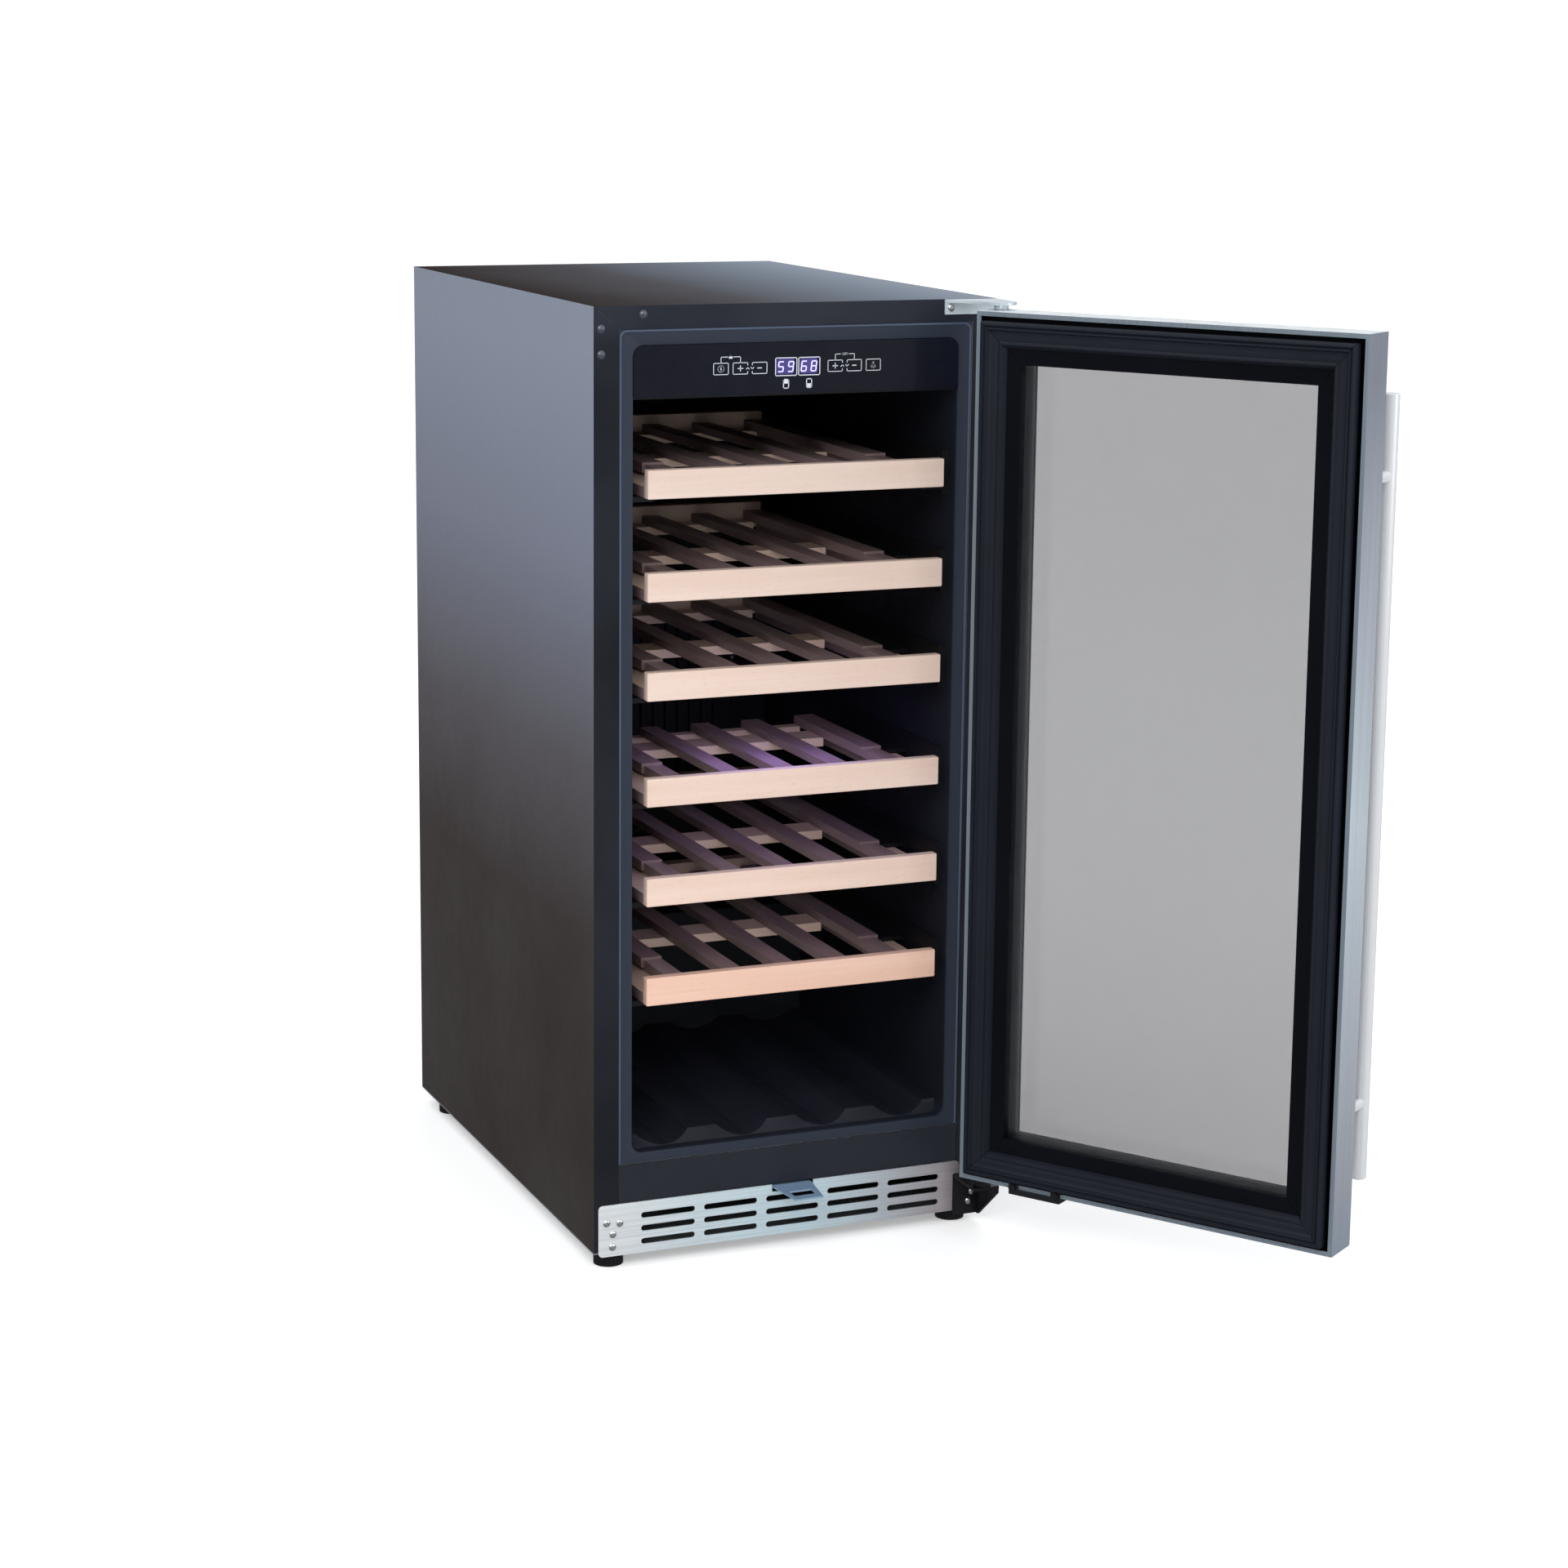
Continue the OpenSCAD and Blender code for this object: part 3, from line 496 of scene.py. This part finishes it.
def all_finishes():
    """Every finish by its short name."""
    finishes = {
        "wrap": wrap_paint_and_reflection("wrap_paint_and_reflection", side_painted_reflection, gloss=0.12),
        "wrap_top": wrap_paint_and_reflection("wrap_top_paint_and_reflection", top_painted_reflection, gloss=0.0),
        "frame": satin("frame_paint", linear("20232c"), 0.4, grain=500, depth=0.00003),
        "liner": liner_plastic(),
        "bead": satin("liner_bead", linear("414d5e"), 0.35, grain=1200, depth=0.00003),
        "black": satin("moulded_black", linear("141519"), 0.45, grain=1100, depth=0.00006),
        "soft_black": satin("gasket_rubber", linear("161a23"), 0.42, grain=1600, depth=0.00004, gloss=0.2),
        "gloss": satin(
            "gloss_black", linear("0a0b10"), 0.14, grain=300, depth=0.00001, variation=0.2, gloss=0.08,
        ),
        "panel": satin(
            "touch_panel", linear("0e101b"), 0.3, grain=300, depth=0.00001, variation=0.15, gloss=0.2,
        ),
        "bracket": satin("bracket_paint", linear("131217"), 0.38, grain=700, depth=0.00004),
        "foot": satin("foot_plastic", linear("121115"), 0.5, grain=1400, depth=0.00008),
        "strike": satin("strike_paint", linear("7690aa"), 0.4, grain=600, depth=0.00004, variation=0.1),
        "steel_x": brushed(
            "brushed_steel_x", linear("c2ced4"), 0, 0.34, streak=0.18, metallic=0.35, painted_light_of=grille_painted_reflection,
        ),
        "steel_z": brushed(
            "brushed_steel_z", linear("cdd2d8"), 2, 0.3, streak=0.16, metallic=0.5, painted_light_of=door_steel_painted_light,
        ),
        "tube": brushed("handle_steel", (0.74, 0.75, 0.77, 1.0), 2, 0.33, streak=0.1, metallic=0.3),
        "hinge_steel": brushed("hinge_steel", linear("cfdae0"), 0, 0.35, streak=0.12, metallic=0.4),
        "plug": satin(
            "plug_plastic", linear("3a3d47"), 0.25, grain=900, depth=0.00002, variation=0.1, gloss=0.8,
        ),
        "plated": metal("plated_steel", (0.78, 0.785, 0.79, 1.0), 0.22),
        "zinc": satin(
            "galvanised_sheet", (0.42, 0.43, 0.44, 1.0), 0.42,
            grain=250, depth=0.00003, variation=0.2, Metallic=0.85,
        ),
        "copper": metal("copper_tube", (0.72, 0.4, 0.27, 1.0), 0.3),
        "aluminium": brushed("mill_aluminium", (0.75, 0.76, 0.77, 1.0), 0, 0.35, streak=0.12),
        "spacer": satin("spacer_bar", linear("3c4450"), 0.4, grain=600, depth=0.00002),
        "white": satin("white_plastic", (0.74, 0.74, 0.71, 1.0), 0.4),
        "lens": glowing("light_lens", (0.75, 0.8, 1.0, 1.0), 0.22, base=(0.4, 0.42, 0.46, 1.0)),
        "pad": glowing("display_glow", (0.20, 0.15, 0.75, 1.0), 0.25, base=(0.02, 0.02, 0.05, 1.0)),
        "digit": glowing("display_digit", (0.55, 0.5, 1.0, 1.0), 1.6, base=(0.1, 0.1, 0.4, 1.0)),
        "print": satin("white_print", (0.55, 0.58, 0.63, 1.0), 0.5, grain=300, depth=0.00001),
        "glass": tinted_glass(),
    }
    for i in SHELVES:
        # Each rail's tone carries painted light that differs from shelf to shelf.
        finishes[f"rail_{i}"] = beech(f"beech_rail_lit_{i}", 0, rail_painted_light_tone(i), 1.0, (i * 3.7, i, i * 1.9))
        # The slats take the painted-shade tone, the boards the painted-light tone.
        finishes[f"slat_{i}"] = beech(f"beech_slat_shaded_{i}", 1, SLAT_SHADED_TONE, 1.3, (i * 2.3, i, i * 4.1))
        finishes[f"board_{i}"] = beech(f"beech_board_lit_{i}", 0, BOARD_LIT_TONE, 1.0, (i * 5.3, i, i * 0.7))
    return finishes


def dress_nodes(m):
    """Finishes of the CAD nodes that keep their own shape."""
    table = {
        "zinc": ("back_panel", "base_pan", "compressor_bay_plate"),
        "black": (
            "rear_cover", "control_housing", "evaporator_cover", "fan_housings", "shelf_guides",
            "compressor", "condenser_coil", "mains_inlet", "evaporator_fan_upper", "hinge_bushes",
            "evaporator_fan_lower", "condenser_fan", "compressor_grommets",
        ),
        "foot": ("foot_front_left", "foot_front_right", "foot_rear_left", "foot_rear_right"),
        "frame": ("lower_front_panel",),
        "white": ("drip_tray", "drain_tube", "foam_insulation", "door_frame_foam"),
        "aluminium": ("evaporator_coil",),
        "spacer": ("glass_spacer",),
        "copper": ("refrigerant_pipes",),
        "steel_z": ("door_skin",),
        "tube": ("handle",),
        "plated": ("lock_barrel", "lock_cam"),
        "panel": ("control_fascia",),
        "plug": ("hole_plugs",),
        "pad": ("control_board",),
        "glass": ("glass_panes",),
    }
    for finish, nodes in table.items():
        for node in nodes:
            paint_node(node, m[finish])


# ---- Pieces ----

# How squarely a CAD face must look along an axis to be picked out, as a cosine
SQUARE_ON = 0.9

# A screw head's radius, and its outline as distances from the axis and heights over the seat, in mm
SCREW_RADIUS = 3.5
SCREW_PROFILE = ((3.5, 0.0), (3.45, 0.5), (3.1, 1.05), (2.4, 1.5), (1.4, 1.8))

# A recess at its open end and at its bottom: the height over the seat, half its length and half its width
RECESS_TOP = (3 * MM, 2.3, 0.5)
RECESS_BOTTOM = (0.6 * MM, 1.2, 0.3)


def shell_wrap(m):
    """The folded wrap, its top in a material of its own that carries a painted reflection."""
    shell = cleaned_copy("outer_shell")
    obj = new_object("outer_shell_finished", shell, m["wrap"], "cabinet", 35)
    obj.data.materials.append(m["wrap_top"])
    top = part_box("outer_shell")[1].z - 0.5 * MM
    for face in obj.data.polygons:
        if face.normal.z > SQUARE_ON and face.center.z > top:
            face.material_index = 1
    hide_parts("outer_shell")


def crosswise_and_lit_faces(shelf, hi):
    """The faces of a shelf's crossbars and rear board, given the shelf's highest corner; they take the grain
    across and the lighter, painted-light tone.
    """
    bars_from = 160 * MM
    board_depth = 15.5 * MM
    short_reach = 0.3
    short = hi.y < short_reach
    slat_bottom = hi.z - (9.0 if short else 17.0) * MM
    for face in shelf.data.polygons:
        center = face.center
        board = not short and center.y > hi.y - board_depth
        bar_front = face.normal.y < -SQUARE_ON and center.y > bars_from
        bar_top = face.normal.z > SQUARE_ON and center.z < slat_bottom + 2 * MM
        if board or bar_front or bar_top:
            yield face


def shelf_woods(m):
    """Soft-edged shelves; the crossbars and the rear board have their grain across and are painted lighter as
    lit, while the slats are painted darker as in shade.
    """
    for i in SHELVES:
        soften(f"shelf_{i}_rail", m[f"rail_{i}"], radius=0.0012, segments=3)
        shelf = soften(f"shelf_{i}_frame", m[f"slat_{i}"], radius=0.0006)
        shelf.data.materials.append(m[f"board_{i}"])
        for face in crosswise_and_lit_faces(shelf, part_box(f"shelf_{i}_frame")[1]):
            face.material_index = 1


def small_metalwork(m):
    """Sheet, bracket and moulded parts with their edges broken."""
    soften("top_hinge", m["hinge_steel"], radius=0.0005)
    soften("bottom_hinge", m["bracket"], radius=0.0006)
    soften("kick_grille", m["steel_x"], radius=0.0004)
    soften("lock_strike", m["strike"], radius=0.0003)
    soften("door_stop", m["black"], radius=0.0008)
    soften("inner_liner", m["liner"], radius=0.0009, angle=25)


def door_gasket(m):
    """The magnetic seal: a double ridge outside, a flat band with two lines and a sloping shoulder inside."""
    profile = (
        (8, -0.5), (8, 6.9), (8.4, 8.3), (9.6, 8.8), (11.2, 8.7), (11.9, 7.5), (12.4, 7.1), (12.9, 7.5),
        (13.4, 8.5), (14.4, 8.7), (15.1, 7.9), (15.6, 6.3), (16.6, 5.6), (20, 5.75), (24, 5.5),
        (24.6, 5.0), (25.2, 5.4), (27.5, 5.3), (29.5, 3.0), (31, -0.5),
    )
    mitred_ring("door_gasket_finished", profile, "door_gasket", m["soft_black"])


def door_inner_frame(m):
    """The glossy black frame that holds the gasket and turns down to the glass."""
    depth = (shut_box("door_skin")[1].y - shut_box("glass_panes")[1].y) / MM
    profile = (
        (1, -10.4), (1, -8), (8, -8), (8, -0.6), (44, -0.5), (44.7, -0.8), (45, -1.5), (45, -depth),
        (43, -depth), (43, -3), (10, -3), (10, -10.4),
    )
    mitred_ring("door_inner_frame_finished", profile, "door_inner_frame", m["gloss"])


def bead_path():
    """The line of the bead: up the left, round two corners and down the right."""
    corner = 6 * MM
    corner_steps = 6
    flange_top = 20 * MM
    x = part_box("lower_front_panel")[1].x - 1.0 * MM
    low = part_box("lower_front_panel")[1].z + 1 * MM
    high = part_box("outer_shell")[1].z - flange_top - 1.6 * MM
    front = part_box("inner_liner")[0].y
    path = [Vector((-x, front, low))]
    for side, start in ((-1, 180), (1, 90)):
        for step in range(corner_steps + 1):
            turn = math.radians(start - 90 / corner_steps * step)
            across = side * (x - corner) + corner * math.cos(turn)
            path.append(Vector((across, front, high - corner + corner * math.sin(turn))))
    path.append(Vector((x, front, low)))
    return path


def liner_bead(m):
    """A half-round bead on the liner's flange, just inside the opening of the wrap."""
    radius = 1.1 * MM
    sides = 12
    inward = Vector((0, 1, 0))
    path = bead_path()
    turns = [2 * math.pi * k / sides for k in range(sides)]
    bm = bmesh.new()
    rings = []
    for i, point in enumerate(path):
        before = path[max(i - 1, 0)]
        after = path[min(i + 1, len(path) - 1)]
        out = (after - before).normalized().cross(inward)
        spots = [point + radius * (math.cos(a) * out + math.sin(a) * inward) for a in turns]
        rings.append([bm.verts.new(spot) for spot in spots])
    skin(bm, rings)
    new_object("liner_bead", bm, m["bead"], "cabinet", 50)


def light_lens(m):
    """The lamp's diffuser, of which only a thin strip stands out below the housing."""
    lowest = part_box("control_housing")[0].z - 2.0 * MM
    bm = cleaned_copy("light_lens")
    for vert in bm.verts:
        vert.co.z = max(vert.co.z, lowest)
    bmesh.ops.remove_doubles(bm, verts=bm.verts, dist=1e-5)
    lens = new_object("light_lens_finished", bm, m["lens"], "cabinet", 35)
    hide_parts("light_lens")


def screw_dome(bm, center, seat, tail, side, scale):
    """A screw's shank from its tail to its seat, and its domed head."""
    steps = 20
    shank = 1.9 * MM
    rows = [(shank, tail), (shank, seat)]
    rows += [(r * scale, seat + side * h * MM) for r, h in SCREW_PROFILE]
    rings = []
    for radius, y in rows:
        turns = [2 * math.pi * k / steps for k in range(steps)]
        spots = [(center.x + radius * math.cos(a), y, center.z + radius * math.sin(a)) for a in turns]
        rings.append([bm.verts.new(spot) for spot in spots])
    skin(bm, rings)


def cross_recess(bm, center, seat, side, turn):
    """Two crossed wedges, narrower at the bottom, that cut a screw's recess."""
    corners = ((-1, -1), (1, -1), (1, 1), (-1, 1))
    for quarter in (0, math.pi / 2):
        dx = Vector((math.cos(turn + quarter), 0, math.sin(turn + quarter)))
        dz = Vector((-math.sin(turn + quarter), 0, math.cos(turn + quarter)))
        rings = []
        for height, length, width in (RECESS_TOP, RECESS_BOTTOM):
            middle = center + Vector((0, seat + side * height, 0))
            spots = [middle + dx * a * length * MM + dz * b * width * MM for a, b in corners]
            rings.append([bm.verts.new(spot) for spot in spots])
        skin(bm, rings)


def cut_away(obj, bm):
    """Cuts a bmesh's solids out of an object's own mesh."""
    bmesh.ops.recalc_face_normals(bm, faces=bm.faces)
    mesh = bpy.data.meshes.new("recesses")
    bm.to_mesh(mesh)
    bm.free()
    cutter = bpy.data.objects.new("recesses", mesh)
    bpy.context.scene.collection.objects.link(cutter)
    cut = obj.modifiers.new("recess", "BOOLEAN")
    cut.object = cutter
    cut.solver = "EXACT"
    cut.use_self = True
    bpy.context.view_layer.update()
    shaped = bpy.data.meshes.new_from_object(obj.evaluated_get(bpy.context.evaluated_depsgraph_get()))
    obj.modifiers.clear()
    obj.data = shaped
    bpy.data.objects.remove(cutter)


def screw_heads(node, material):
    """Domed cross-recess screws in the places of a node's plain ones."""
    head = 1.8 * MM
    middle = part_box("inner_liner")[1].y
    domes = bmesh.new()
    recesses = bmesh.new()
    for number, (lo, hi) in enumerate(islands(node)):
        side = -1 if lo.y < middle else 1
        center = Vector(((lo.x + hi.x) / 2, 0, (lo.z + hi.z) / 2))
        seat = lo.y + head if side < 0 else hi.y - head
        tail = hi.y if side < 0 else lo.y
        scale = (hi.x - lo.x) / 2 / SCREW_RADIUS
        screw_dome(domes, center, seat, tail, side, scale)
        cross_recess(recesses, center, seat, side, math.radians(20 + 37 * number))
    obj = new_object(node + "_finished", domes, material, NODES[node]["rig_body"], 40)
    cut_away(obj, recesses)
    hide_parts(node)


# ---- Control panel ----

# Keys: their size, height and centres, the last in millimetres
KEY = Vector((13.7, 9.8)) * MM
KEY_Z = 788.9 * MM
KEY_X = {
    "power": -73.5, "plus_left": -55.4, "minus_left": -37.4,
    "plus_right": 34.1, "minus_right": 52.3, "light": 70.6,
}

# The two displays: their borders and readings, and the lit segments of each digit
WINDOW = Vector((20.0, 15.4)) * MM
WINDOW_X = (-12.4, 9.4)
WINDOW_Z = 789.3 * MM
SEGMENTS = {"5": "acdfg", "9": "abcdfg", "6": "acdefg", "8": "abcdefg"}
READINGS = ("59", "68")

# Print: its line width, and the depths between which it lies
LINE = 0.55 * MM
PRINT_Y = (-0.06 * MM, 0.05 * MM)


def outline(bm, center, size, line, open_side=0):
    """A rectangle of print; one side may have a gap for an arrowhead."""
    arm = 2.1 * MM
    x0, x1 = center[0] - size.x / 2, center[0] + size.x / 2
    z0, z1 = center[1] - size.y / 2, center[1] + size.y / 2
    stroke(bm, (x0, z0), (x1, z0), line, *PRINT_Y)
    stroke(bm, (x0, z1), (x1, z1), line, *PRINT_Y)
    for side, x in ((-1, x0), (1, x1)):
        if side == open_side:
            stroke(bm, (x, z0), (x, z0 + arm), line, *PRINT_Y)
            stroke(bm, (x, z1), (x, z1 - arm), line, *PRINT_Y)
        else:
            stroke(bm, (x, z0), (x, z1), line, *PRINT_Y)


def arrowhead(bm, x, up):
    """A small caret or its mirror, in the gap of a key's side."""
    tip = KEY_Z + up * 0.7 * MM
    for side in (-1, 1):
        stroke(bm, (x, tip), (x + side * 1.3 * MM, tip - up * 1.4 * MM), 0.6 * MM, *PRINT_Y)


def key_bridge(bm, x0, x1, gap):
    """The line that joins two keys, broken round its icon."""
    top = KEY_Z + 10.2 * MM
    foot = KEY_Z + KEY.y / 2
    middle = (x0 + x1) / 2
    for x, side in ((x0, 1), (x1, -1)):
        stroke(bm, (x, foot), (x, top), LINE, *PRINT_Y)
        stroke(bm, (x, top), (middle - side * gap, top), LINE, *PRINT_Y)
    return middle, top


def key_marks(bm):
    """The marks inside the six keys: a power sign, two plus and minus pairs, and a lamp."""
    x = {name: value * MM for name, value in KEY_X.items()}
    tick = 1.1 * MM
    plus_arm = 2.2 * MM
    minus_arm = 1.7 * MM
    thin = 0.7 * MM
    ring_stroke(bm, (x["power"], KEY_Z), 2.8 * MM, 0.6 * MM, *PRINT_Y)
    stroke(bm, (x["power"], KEY_Z - tick), (x["power"], KEY_Z + tick), thin, *PRINT_Y)
    for side in ("left", "right"):
        plus, minus = x["plus_" + side], x["minus_" + side]
        stroke(bm, (plus, KEY_Z - plus_arm), (plus, KEY_Z + plus_arm), thin, *PRINT_Y)
        stroke(bm, (plus - plus_arm, KEY_Z), (plus + plus_arm, KEY_Z), thin, *PRINT_Y)
        stroke(bm, (minus - minus_arm, KEY_Z), (minus + minus_arm, KEY_Z), 0.8 * MM, *PRINT_Y)
        arrowhead(bm, plus + KEY.x / 2, 1)
        arrowhead(bm, minus - KEY.x / 2, -1)
    ring_stroke(bm, (x["light"], KEY_Z), 1.3 * MM, 0.7 * MM, *PRINT_Y, steps=12)
    stroke(bm, (x["light"], KEY_Z + 1.6 * MM), (x["light"], KEY_Z + 2.2 * MM), 0.9 * MM, *PRINT_Y)
    for turn in (-150, -120, -90, -60, -30):
        ray = Vector((math.cos(math.radians(turn)), math.sin(math.radians(turn))))
        start = Vector((x["light"], KEY_Z)) + ray * 2.2 * MM
        stroke(bm, start, start + ray * 0.6 * MM, 0.35 * MM, *PRINT_Y)


def bridge_icons(bm):
    """A padlock over the left pair of keys and a unit switch over the right pair."""
    x, z = key_bridge(bm, KEY_X["power"] * MM, KEY_X["plus_left"] * MM, 2.6 * MM)
    stroke(bm, (x - 0.8 * MM, z - 0.6 * MM), (x + 0.8 * MM, z - 0.6 * MM), 1.7 * MM, *PRINT_Y)
    ring_stroke(bm, (x, z + 0.3 * MM), 1.0 * MM, 0.5 * MM, *PRINT_Y, start=0, sweep=180, steps=8)
    x, z = key_bridge(bm, KEY_X["plus_right"] * MM, KEY_X["minus_right"] * MM, 4.2 * MM)
    for side in (-1, 1):
        ring_stroke(bm, (x + side * 1.9 * MM, z), 0.9 * MM, 0.5 * MM, *PRINT_Y, steps=10)
    stroke(bm, (x - 0.4 * MM, z - 1 * MM), (x + 0.4 * MM, z + 1 * MM), 0.5 * MM, *PRINT_Y)


def zone_icons(bm):
    """Under each display, a little cabinet with its upper or lower zone filled in."""
    size = Vector((4.8, 7.6)) * MM
    z = WINDOW_Z - 14.9 * MM
    for x, filled in zip(WINDOW_X, (1, -1)):
        x = x * MM
        outline(bm, (x, z), size, 0.8 * MM)
        middle = z + filled * size.y / 4
        stroke(bm, (x - 0.7 * MM, middle), (x + 0.7 * MM, middle), 3.4 * MM, *PRINT_Y)


def panel_print(m):
    """White print on the touch panel: keys, marks and the displays' borders."""
    bm = bmesh.new()
    open_sides = {"plus_left": 1, "plus_right": 1, "minus_left": -1, "minus_right": -1}
    for name, x in KEY_X.items():
        outline(bm, (x * MM, KEY_Z), KEY, LINE, open_sides.get(name, 0))
    key_marks(bm)
    bridge_icons(bm)
    zone_icons(bm)
    for x in WINDOW_X:
        outline(bm, (x * MM, WINDOW_Z), WINDOW, 0.8 * MM)
    new_object("panel_print", bm, m["print"], "cabinet")


def display_digits(m):
    """Two-digit readings of seven slanted segments each."""
    half = Vector((2.3, 4.3)) * MM
    slant = 0.12
    pitch = 4.7
    ends = {
        "a": ((-1, 1), (1, 1)), "g": ((-1, 0), (1, 0)), "d": ((-1, -1), (1, -1)),
        "f": ((-1, 1), (-1, 0)), "b": ((1, 1), (1, 0)), "e": ((-1, 0), (-1, -1)), "c": ((1, 0), (1, -1)),
    }
    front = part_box("control_board")[0].y
    bm = bmesh.new()
    for window_x, reading in zip(WINDOW_X, READINGS):
        for offset, digit in zip((-pitch, pitch), reading):
            digit_x = (window_x + offset) * MM
            for name in SEGMENTS[digit]:
                points = [Vector((x * half.x, z * half.y)) for x, z in ends[name]]
                points = [Vector((p.x + slant * p.y + digit_x, p.y + WINDOW_Z)) for p in points]
                trim = (points[1] - points[0]).normalized() * 0.75 * MM
                stroke(bm, points[0] + trim, points[1] - trim, 1.1 * MM, front - 0.3 * MM, front)
    new_object("display_digits", bm, m["digit"], "cabinet")


# ---- Stage ----

# The camera's place, its yaw, pitch and roll in radians, its lens in millimetres and its shift
CAMERA_PLACE = (-1.15196, -2.71443, 1.06609)
CAMERA_TURNS = (0.4023, 0.187, 0.0111)
CAMERA_LENS = 77.657
CAMERA_SHIFT = (-0.0096, -0.0643)

# The floor's half width, and how far it lies below the feet
FLOOR_REACH = 12
FLOOR_GAP = 0.0002

# The backdrop's brightness from straight down, at 0, to straight up, at 1
SKY_STOPS = ((0.0, 0.16), (0.46, 0.22), (0.55, 0.55), (0.75, 0.95), (1.0, 1.0))
SKY_STRENGTH = 1.05


def add_camera():
    """The camera: a long lens, a little above the cabinet and to its left."""
    yaw, pitch, roll = CAMERA_TURNS
    forward = Vector((math.sin(yaw) * math.cos(pitch), math.cos(yaw) * math.cos(pitch), -math.sin(pitch)))
    level = Vector((math.cos(yaw), -math.sin(yaw), 0))
    upright = level.cross(forward)
    right = math.cos(roll) * level + math.sin(roll) * upright
    up = -math.sin(roll) * level + math.cos(roll) * upright
    data = bpy.data.cameras.new("camera")
    data.sensor_width = 36
    data.lens = CAMERA_LENS
    data.shift_x, data.shift_y = CAMERA_SHIFT
    data.clip_end = 50
    camera = bpy.data.objects.new("camera", data)
    turn = Matrix((right, up, -forward)).transposed().to_4x4()
    camera.matrix_world = Matrix.Translation(CAMERA_PLACE) @ turn
    bpy.context.scene.collection.objects.link(camera)
    bpy.context.scene.camera = camera


def add_area(name, place, target, size, power, color=(1, 1, 1)):
    """A rectangular light that looks at a target and isn't seen itself."""
    data = bpy.data.lights.new(name, "AREA")
    data.shape = "RECTANGLE"
    data.size, data.size_y = size
    data.energy = power
    data.color = color
    light = bpy.data.objects.new(name, data)
    aim = (Vector(target) - Vector(place)).to_track_quat("-Z", "Y")
    light.matrix_world = Matrix.Translation(place) @ aim.to_matrix().to_4x4()
    light.visible_camera = False
    bpy.context.scene.collection.objects.link(light)


def add_floor():
    """A plain pale floor that stays out of the paint's reflections."""
    bm = bmesh.new()
    bmesh.ops.create_grid(bm, x_segments=1, y_segments=1, size=FLOOR_REACH)
    bmesh.ops.translate(bm, verts=bm.verts, vec=(0, 0, FLOOR_Z - FLOOR_GAP))
    mesh = bpy.data.meshes.new("floor")
    bm.to_mesh(mesh)
    bm.free()
    paper = Finish("floor_paper", (0.93, 0.93, 0.93, 1.0), 0.9, Emission_Strength=0.3, Specular_IOR_Level=0.0)
    paper.bsdf.inputs["Emission Color"].default_value = (1, 1, 1, 1)
    paper.set("Base Color", paper.mix(paper.noise((2, 2, 2)), (0.92, 0.92, 0.92, 1), (0.94, 0.94, 0.94, 1)))
    mesh.materials.append(paper.material)
    floor = bpy.data.objects.new("floor", mesh)
    floor.visible_glossy = False
    bpy.context.scene.collection.objects.link(floor)


def add_world():
    """A white backdrop to the camera, and a soft studio gradient to everything else."""
    world = bpy.data.worlds.new("studio")
    world.use_nodes = True
    tree = world.node_tree
    background = tree.nodes["Background"]
    direction = tree.nodes.new("ShaderNodeTexCoord").outputs["Generated"]
    split = tree.nodes.new("ShaderNodeSeparateXYZ")
    tree.links.new(direction, split.inputs[0])
    height = tree.nodes.new("ShaderNodeMapRange")
    height.inputs["From Min"].default_value = -1
    height.inputs["From Max"].default_value = 1
    tree.links.new(split.outputs[2], height.inputs["Value"])
    ramp = tree.nodes.new("ShaderNodeValToRGB")
    elements = ramp.color_ramp.elements
    while len(elements) < len(SKY_STOPS):
        elements.new(0.5)
    for element, (position, level) in zip(elements, SKY_STOPS):
        element.position = position
        element.color = (level * 0.97, level * 0.985, level, 1)
    tree.links.new(height.outputs[0], ramp.inputs[0])
    pick = tree.nodes.new("ShaderNodeMix")
    pick.data_type = "RGBA"
    tree.links.new(tree.nodes.new("ShaderNodeLightPath").outputs["Is Camera Ray"], pick.inputs[0])
    tree.links.new(ramp.outputs[0], pick.inputs[6])
    pick.inputs[7].default_value = (1, 1, 1, 1)
    tree.links.new(pick.outputs[2], background.inputs["Color"])
    background.inputs["Strength"].default_value = SKY_STRENGTH
    bpy.context.scene.world = world


def add_stage():
    """Floor, backdrop and lights."""
    add_floor()
    add_world()
    bpy.context.scene.view_settings.view_transform = "Standard"
    add_area("key", place=(-1.6, -2.6, 2.4), target=(0, 0, 0.45), size=(1.6, 1.6), power=52)
    add_area("fill", place=(2.2, -2.4, 1.2), target=(0, 0, 0.4), size=(1.4, 1.8), power=20)
    add_area(
        "shelf_glow", place=(0, 0.04, 0.485), target=(0, 0.06, 0.42), size=(0.14, 0.03), power=0.12,
        color=(0.42, 0.32, 1.0),
    )


def main():
    """Builds the stage, the finishes and then every piece."""
    add_camera()
    add_stage()
    m = all_finishes()
    dress_nodes(m)
    shell_wrap(m)
    shelf_woods(m)
    small_metalwork(m)
    door_gasket(m)
    door_inner_frame(m)
    liner_bead(m)
    light_lens(m)
    screw_heads("cabinet_screws", m["plated"])
    paint_node("door_screws", m["bracket"])
    panel_print(m)
    display_digits(m)


main()
